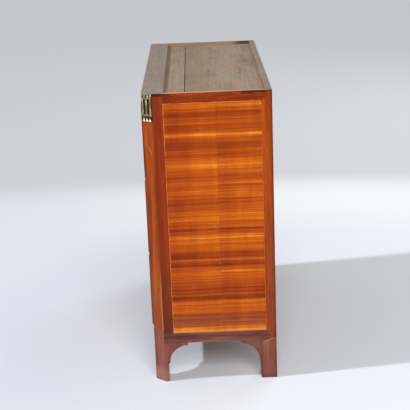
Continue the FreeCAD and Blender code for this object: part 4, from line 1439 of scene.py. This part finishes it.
@dataclass
class BackNails:
    """Forged nails along the edges of the back boards."""

    boards: int = 3
    radius: float = 0.0036
    rise: float = 0.0007
    per_board: int = 6
    inset: float = 0.014
    stray: float = 0.003
    sides: int = 7
    facet: float = 0.55
    crown: float = 0.25

    def nail(self) -> Piece:
        """One low faceted head.

        Returns:
            The head at the origin, facing +Y.
        """
        head = Bench.disc(self.sides, self.radius, self.rise)
        bpy.ops.mesh.inset(thickness=self.radius * self.facet)
        bpy.ops.transform.translate(value=(0, self.rise * self.crown, 0))
        bpy.ops.object.mode_set(mode="OBJECT")
        return head

    def build(self, material: Material) -> None:
        """Model the nails and seat them, a little astray, along the top and bottom of each board.

        Args:
            material: Their finish.
        """
        low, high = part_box("back_boards")
        width = (high.x - low.x) / self.boards
        places = []
        for board in range(self.boards):
            for index in range(self.per_board):
                x = low.x + board * width + width * (index + 0.5) / self.per_board
                for row, z in enumerate((low.z + self.inset, high.z - self.inset)):
                    stray = self.stray * math.sin(5.1 * index + 2.3 * board + 1.7 * row)
                    place = Matrix.Translation((x + stray, high.y, z + stray * 0.6))
                    places.append(place @ Matrix.Rotation(1.1 * index + row, 4, "Y"))
        Bench.hand_over(Bench.set_out(self.nail(), places), "back_nails", "carcass", "iron", material)


@dataclass
class Carcass:
    """The fixed case: sides, corners, base, top, dividers and back."""

    field: FieldWood
    seam: float = 0.03545
    knot: Sizes = (HALF, 0.0335, 0.441)
    curl: float = 0.848
    tip: Span = (0.20945, 0.157)
    split: tuple[Vector, Vector] = (Vector((0.0, 0.1803, 0.1385)), Vector((0.0, 0.2100, 0.1535)))
    drops: float = 0.0095

    def dress_sides(self) -> None:
        """Finish the veneered sides and canted corners."""
        field = SideField("field_veneer", self.field, self.seam, self.knot)
        field.dress("right_field_veneer", "left_field_veneer")
        SideBanding("side_banding", self.tip).dress("right_banding", "left_banding")
        Inlay("stringing").dress("side_stringing")
        CantVeneer("corner_veneer", self.curl).dress("corner_veneers")
        SideBoard("side_board_oak").dress("right_side_board", "left_side_board")

    def dress_base(self) -> None:
        """Finish the posts, feet, brackets, rails, dividers and back."""
        post = PolishedWood("post_mahogany", MAHOGANY, Grain.ALONG_Z)
        post.dress("front_right_post", "front_left_post")
        feet = [f"{end}_{side}_foot" for end in ("front", "rear") for side in ("right", "left")]
        FootWood("foot_mahogany", FOOT_WOOD, self.split).dress(*feet, "foot_brackets")
        PolishedWood("rail_mahogany", BASE_WOOD, Grain.ALONG_X).dress("front_base_rail")
        upright = PolishedWood("carcass_oak", BACK_OAK, Grain.ALONG_Z, Polish.BARE)
        upright.dress("rear_right_post", "rear_left_post")
        BackOak("back_oak", "back_boards").dress("back_boards")
        across = PolishedWood("rail_oak", BACK_OAK, Grain.ALONG_X, Polish.BARE)
        across.dress("base_rails", "bottom_board")
        PolishedWood("runner_oak", OAK, Grain.ALONG_Y, Polish.DRY).dress("drawer_runners")
        EdgeFaced("divider_oak", FRONT_LINE, Grain.ALONG_X).dress("lower_divider", "upper_divider")

    def dress_top(self) -> None:
        """Finish the bare top."""
        lines = (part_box(node)[0].y for node in ("top_board_front", "top_board_rear", "rear_top_rail"))
        bare = BareTop("weathered_oak", *lines)
        bare.dress("front_top_rail", "rear_top_rail", "top_board_front", "top_board_rear")

    def dress_mounts(self) -> None:
        """Finish the two gilt corner mounts, whose drops carry a painted highlight."""
        run = CANT.normalized()
        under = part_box("right_corner_mount")[0].z + self.drops
        normal = (run.y, -run.x, 0.0)
        gilt = GiltBronze(
            "mount_gilt",
            tuple(CANT_MIDDLE),
            normal,
            recess=0.0026,
            proud=0.0042,
            paired=True,
            highlighted_under=under,
        )
        gilt.dress("right_corner_mount", "left_corner_mount")

    def build(self, iron: Material) -> None:
        """Dress the case and add its nails.

        Args:
            iron: Finish of the nails.
        """
        self.dress_sides()
        self.dress_base()
        self.dress_top()
        self.dress_mounts()
        BackNails().build(iron)


@dataclass
class Metals:
    """The metal finishes that several pieces share."""

    gilt: Material
    brass: Material
    iron: Material

    @classmethod
    def make(cls) -> "Metals":
        """Build the three finishes.

        Returns:
            The finishes.
        """
        origin = (0.0, FRONT_FACE, 0.0)
        gilt = GiltBronze("pull_gilt", origin, (0.0, -1.0, 0.0), recess=0.0002, proud=0.0011)
        brass = BareMetal("brass", tone(206, 170, 98), tone(138, 104, 52), roughness=0.34)
        iron = BareMetal("iron", tone(120, 114, 108), tone(62, 54, 48), roughness=0.48)
        return cls(gilt.make(), brass.make(), iron.make())


@dataclass
class PulledFront:
    """What every front carries: pull plates, rings, keyhole plate, lock, bolt and cock bead."""

    name: str
    body: str
    metals: Metals
    bead: Material
    field: FieldWood

    def fit_out(self, front: str, above: float = 0.0) -> None:
        """Finish the pulls and the lock, and model their ornament, the screws and the bead.

        Args:
            front: Node of the front board.
            above: How far above the board's foot the bead starts.
        """
        rings = f"{self.name}_ring_left", f"{self.name}_ring_right"
        dress(self.metals.gilt, f"{self.name}_brasses", *rings)
        dress(self.metals.iron, f"{self.name}_lock", f"{self.name}_lock_bolt")
        for side in ("left", "right"):
            low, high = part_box(f"{self.name}_ring_{side}")
            centre = Vector(((low.x + high.x) / 2, FRONT_FACE, (low.z + high.z) / 2))
            ornament = PullOrnament(f"{self.name}_pull_ornament_{side}", self.body, centre)
            ornament.build(self.metals.gilt)
        LockScrews(f"{self.name}_lock_screws", self.body, f"{self.name}_lock").build(self.metals.iron)
        CockBead(f"{self.name}_cock_bead", self.body, front, above).build(self.bead)


@dataclass
class PlainDrawer(PulledFront):
    """One of the two plain drawers."""

    wall: float = 0.012

    def build(self) -> None:
        """Dress the drawer and add its small pieces."""
        front, box = f"{self.name}_front", f"{self.name}_box"
        FrontVeneer(f"{front}_veneer", front, self.field, OAK).dress(front)
        DrawerBox(f"{box}_oak", box, self.wall).dress(box)
        self.fit_out(front)


@dataclass
class WritingLeaf(PulledFront):
    """The leaf that falls to make a writing top, with its lower edge rounded for the turn."""

    turn: float = 0.018

    def build(self) -> None:
        """Dress the leaf and add its small pieces."""
        FrontVeneer("leaf_veneer", "leaf_board", self.field, MAHOGANY, self.turn).dress("leaf_board")
        TooledLeather("leather", "leaf_leather").dress("leaf_leather")
        dress(self.metals.brass, "leaf_pivots")
        self.fit_out("leaf_board", self.turn)


@dataclass
class SecretaryDrawer:
    """The top drawer behind the leaf, with its pigeonholes and small drawers."""

    field: FieldWood
    metals: Metals
    wall: float = 0.015

    def build(self) -> None:
        """Dress the drawer, the case and the three small drawers."""
        DrawerBox("secretary_box_oak", "secretary_box", self.wall, FRONT_FACE).dress("secretary_box")
        floor = PolishedWood("writing_floor_mahogany", MAHOGANY, Grain.ALONG_X, Polish.WAXED)
        floor.dress("secretary_floor")
        case = PolishedWood("case_mahogany", MAHOGANY, Grain.ALONG_X, Polish.WAXED)
        case.dress("pigeonhole_case")
        dress(self.metals.brass, "pivot_sockets")
        for place in ("left", "middle", "right"):
            node = f"small_drawer_{place}"
            SmallDrawerWood(f"{node}_wood", node, self.field).dress(node)


@dataclass(frozen=True)
class Viewpoint:
    """Where the photograph was taken from, found by fitting the chest's straight edges."""

    place: Sizes = (4.0173, -0.02235, 1.7561)
    yaw: float = math.radians(0.21)
    pitch: float = math.radians(17.50)
    roll: float = math.radians(-2.18)
    focal_px: float = 1079.0
    centre_px: Span = (205.5, 205.0)

    def build(self) -> None:
        """Make the camera and give it to the scene."""
        level = math.cos(self.pitch)
        ahead = Vector((-level * math.cos(self.yaw), level * math.sin(self.yaw), -math.sin(self.pitch)))
        right = Vector((math.sin(self.yaw), math.cos(self.yaw), 0.0))
        up = right.cross(ahead)
        turned = math.cos(self.roll) * right + math.sin(self.roll) * up
        upright = math.cos(self.roll) * up - math.sin(self.roll) * right
        data = bpy.data.cameras.new("camera")
        data.sensor_width = SENSOR_MM
        data.lens = self.focal_px * SENSOR_MM / PHOTO_SIDE
        data.shift_x = (PHOTO_SIDE / 2 - self.centre_px[0]) / PHOTO_SIDE
        data.shift_y = (self.centre_px[1] - PHOTO_SIDE / 2) / PHOTO_SIDE
        camera = bpy.data.objects.new("camera", data)
        bpy.context.scene.collection.objects.link(camera)
        turn = Matrix((turned, upright, -ahead)).transposed().to_4x4()
        camera.matrix_world = Matrix.Translation(self.place) @ turn
        bpy.context.scene.camera = camera


class LampKind(Enum):
    """A lamp's make: far off, with a crisp shadow, or a large soft square."""

    FAR = "SUN"
    SOFT = "AREA"


@dataclass(frozen=True)
class Lamp:
    """One lamp that looks at the middle of the chest.

    The spread of a far lamp is its angle, and that of a soft one is its side in metres.
    """

    name: str
    kind: LampKind
    place: Sizes
    colour: Sizes
    power: float
    spread: float
    aim: Sizes = (0.0, 0.0, 0.5)

    def build(self) -> None:
        """Hang the lamp at its place, turned to its point."""
        data = bpy.data.lights.new(self.name, self.kind.value)
        data.energy = self.power
        data.color = self.colour
        if self.kind is LampKind.FAR:
            data.angle = self.spread
        else:
            data.size = self.spread
        lamp = bpy.data.objects.new(self.name, data)
        bpy.context.scene.collection.objects.link(lamp)
        look = Vector(self.aim) - Vector(self.place)
        turn = look.to_track_quat("-Z", "Y").to_matrix().to_4x4()
        lamp.matrix_world = Matrix.Translation(self.place) @ turn
        lamp.visible_camera = False


WARM = (1.0, 0.98, 0.95)
COOL = (0.95, 0.985, 1.035)


@dataclass
class Studio:
    """Pale floor, soft lamps and an even sky."""

    near_floor: Colour = tone(239, 243, 251)
    far_floor: Colour = tone(215, 217, 221)
    front_floor_shade: Colour = tone(208, 217, 232)
    glow: Colour = tone(247, 250, 253)
    glow_centre: Sizes = (0.0, 0.35, 0.0)
    glow_edge: Span = (0.9, 1.6)
    shade_edge: Span = (0.45, 0.85)
    own_light: Span = (0.08, 0.44)
    wall_colour: Colour = tone(200, 203, 209)
    sky_colour: Colour = tone(226, 229, 234)
    sky_strength: float = 0.36
    floor_side: float = 240.0
    far_edge: Span = (1.6**4, 2.15**4)
    lamps: tuple[Lamp, ...] = (
        Lamp("key", LampKind.FAR, (1.1, -7.4, 7.0), COOL, power=1.60, spread=math.radians(2.5)),
        Lamp("fill", LampKind.SOFT, (4.6, 0.5, 3.7), WARM, power=156.0, spread=2.6),
        Lamp("back_fill", LampKind.SOFT, (-3.6, 3.0, 3.0), WARM, power=70.0, spread=3.0),
    )

    def build_floor(self) -> None:
        """Lay the floor, which brightens by itself behind the chest but keeps its shadow."""
        Bench.clear()
        bpy.ops.mesh.primitive_plane_add(size=self.floor_side)
        floor = bpy.context.object
        floor.name = "floor"
        recipe = Recipe("paper_floor")
        x, y = recipe.x, recipe.y
        bright = recipe.distance(self.glow_centre).rising(*self.glow_edge)
        paint = Paint(recipe, recipe.blend(bright, self.near_floor, self.glow))
        # Painted shade: the floor in front of the chest is laid darker and bluer, as the light falls off
        # there.
        paint.lay(y.falling(-1.0, 0.0) * 0.45, self.front_floor_shade)
        paint.lay((x * x * x * x + y * y * y * y).rising(*self.far_edge), self.far_floor)
        clear = recipe.distance((0.0, 0.0, 0.0)).rising(*self.shade_edge)
        own = recipe.seen() * (clear * self.own_light[0] + bright * self.own_light[1])
        paper = recipe.node("ShaderNodeBsdfDiffuse", None, {"Color": paint.colour})
        light = recipe.node("ShaderNodeEmission", None, {"Color": paint.colour, "Strength": 1.0})
        mixed = recipe.node("ShaderNodeMixShader", None, {0: own, 1: paper, 2: light})
        recipe.node("ShaderNodeOutputMaterial", None, {"Surface": mixed})
        floor.data.materials.append(recipe.owner)

    def build_sky(self) -> None:
        """Set the world's even light, and the pale wall that shows above the floor."""
        recipe = Recipe("sky", sky=True)
        lit = {"Color": self.sky_colour, "Strength": self.sky_strength}
        light = recipe.node("ShaderNodeBackground", None, lit)
        wall = recipe.node("ShaderNodeBackground", None, {"Color": self.wall_colour, "Strength": 1.0})
        mixed = recipe.node("ShaderNodeMixShader", None, {0: recipe.seen(), 1: light, 2: wall})
        recipe.node("ShaderNodeOutputWorld", None, {"Surface": mixed})
        bpy.context.scene.world = recipe.owner

    def build(self) -> None:
        """Set up the studio."""
        self.build_floor()
        self.build_sky()
        for lamp in self.lamps:
            lamp.build()
        bpy.context.scene.view_settings.view_transform = "Standard"


def main() -> None:
    """Dress the chest piece by piece, then set up the studio and the camera."""
    logging.basicConfig(level=logging.INFO, format="%(message)s")
    field = FieldWood()
    metals = Metals.make()
    Carcass(field).build(metals.iron)
    SecretaryDrawer(field, metals).build()
    bead = PolishedWood("cock_bead_mahogany", MAHOGANY, Grain.ALONG_X).make()
    WritingLeaf("leaf", "writing_leaf", metals, bead, field).build()
    for name in ("middle", "lower"):
        PlainDrawer(name, f"{name}_drawer", metals, bead, field).build()
    Studio().build()
    Viewpoint().build()


if __name__ == "__main__":
    main()
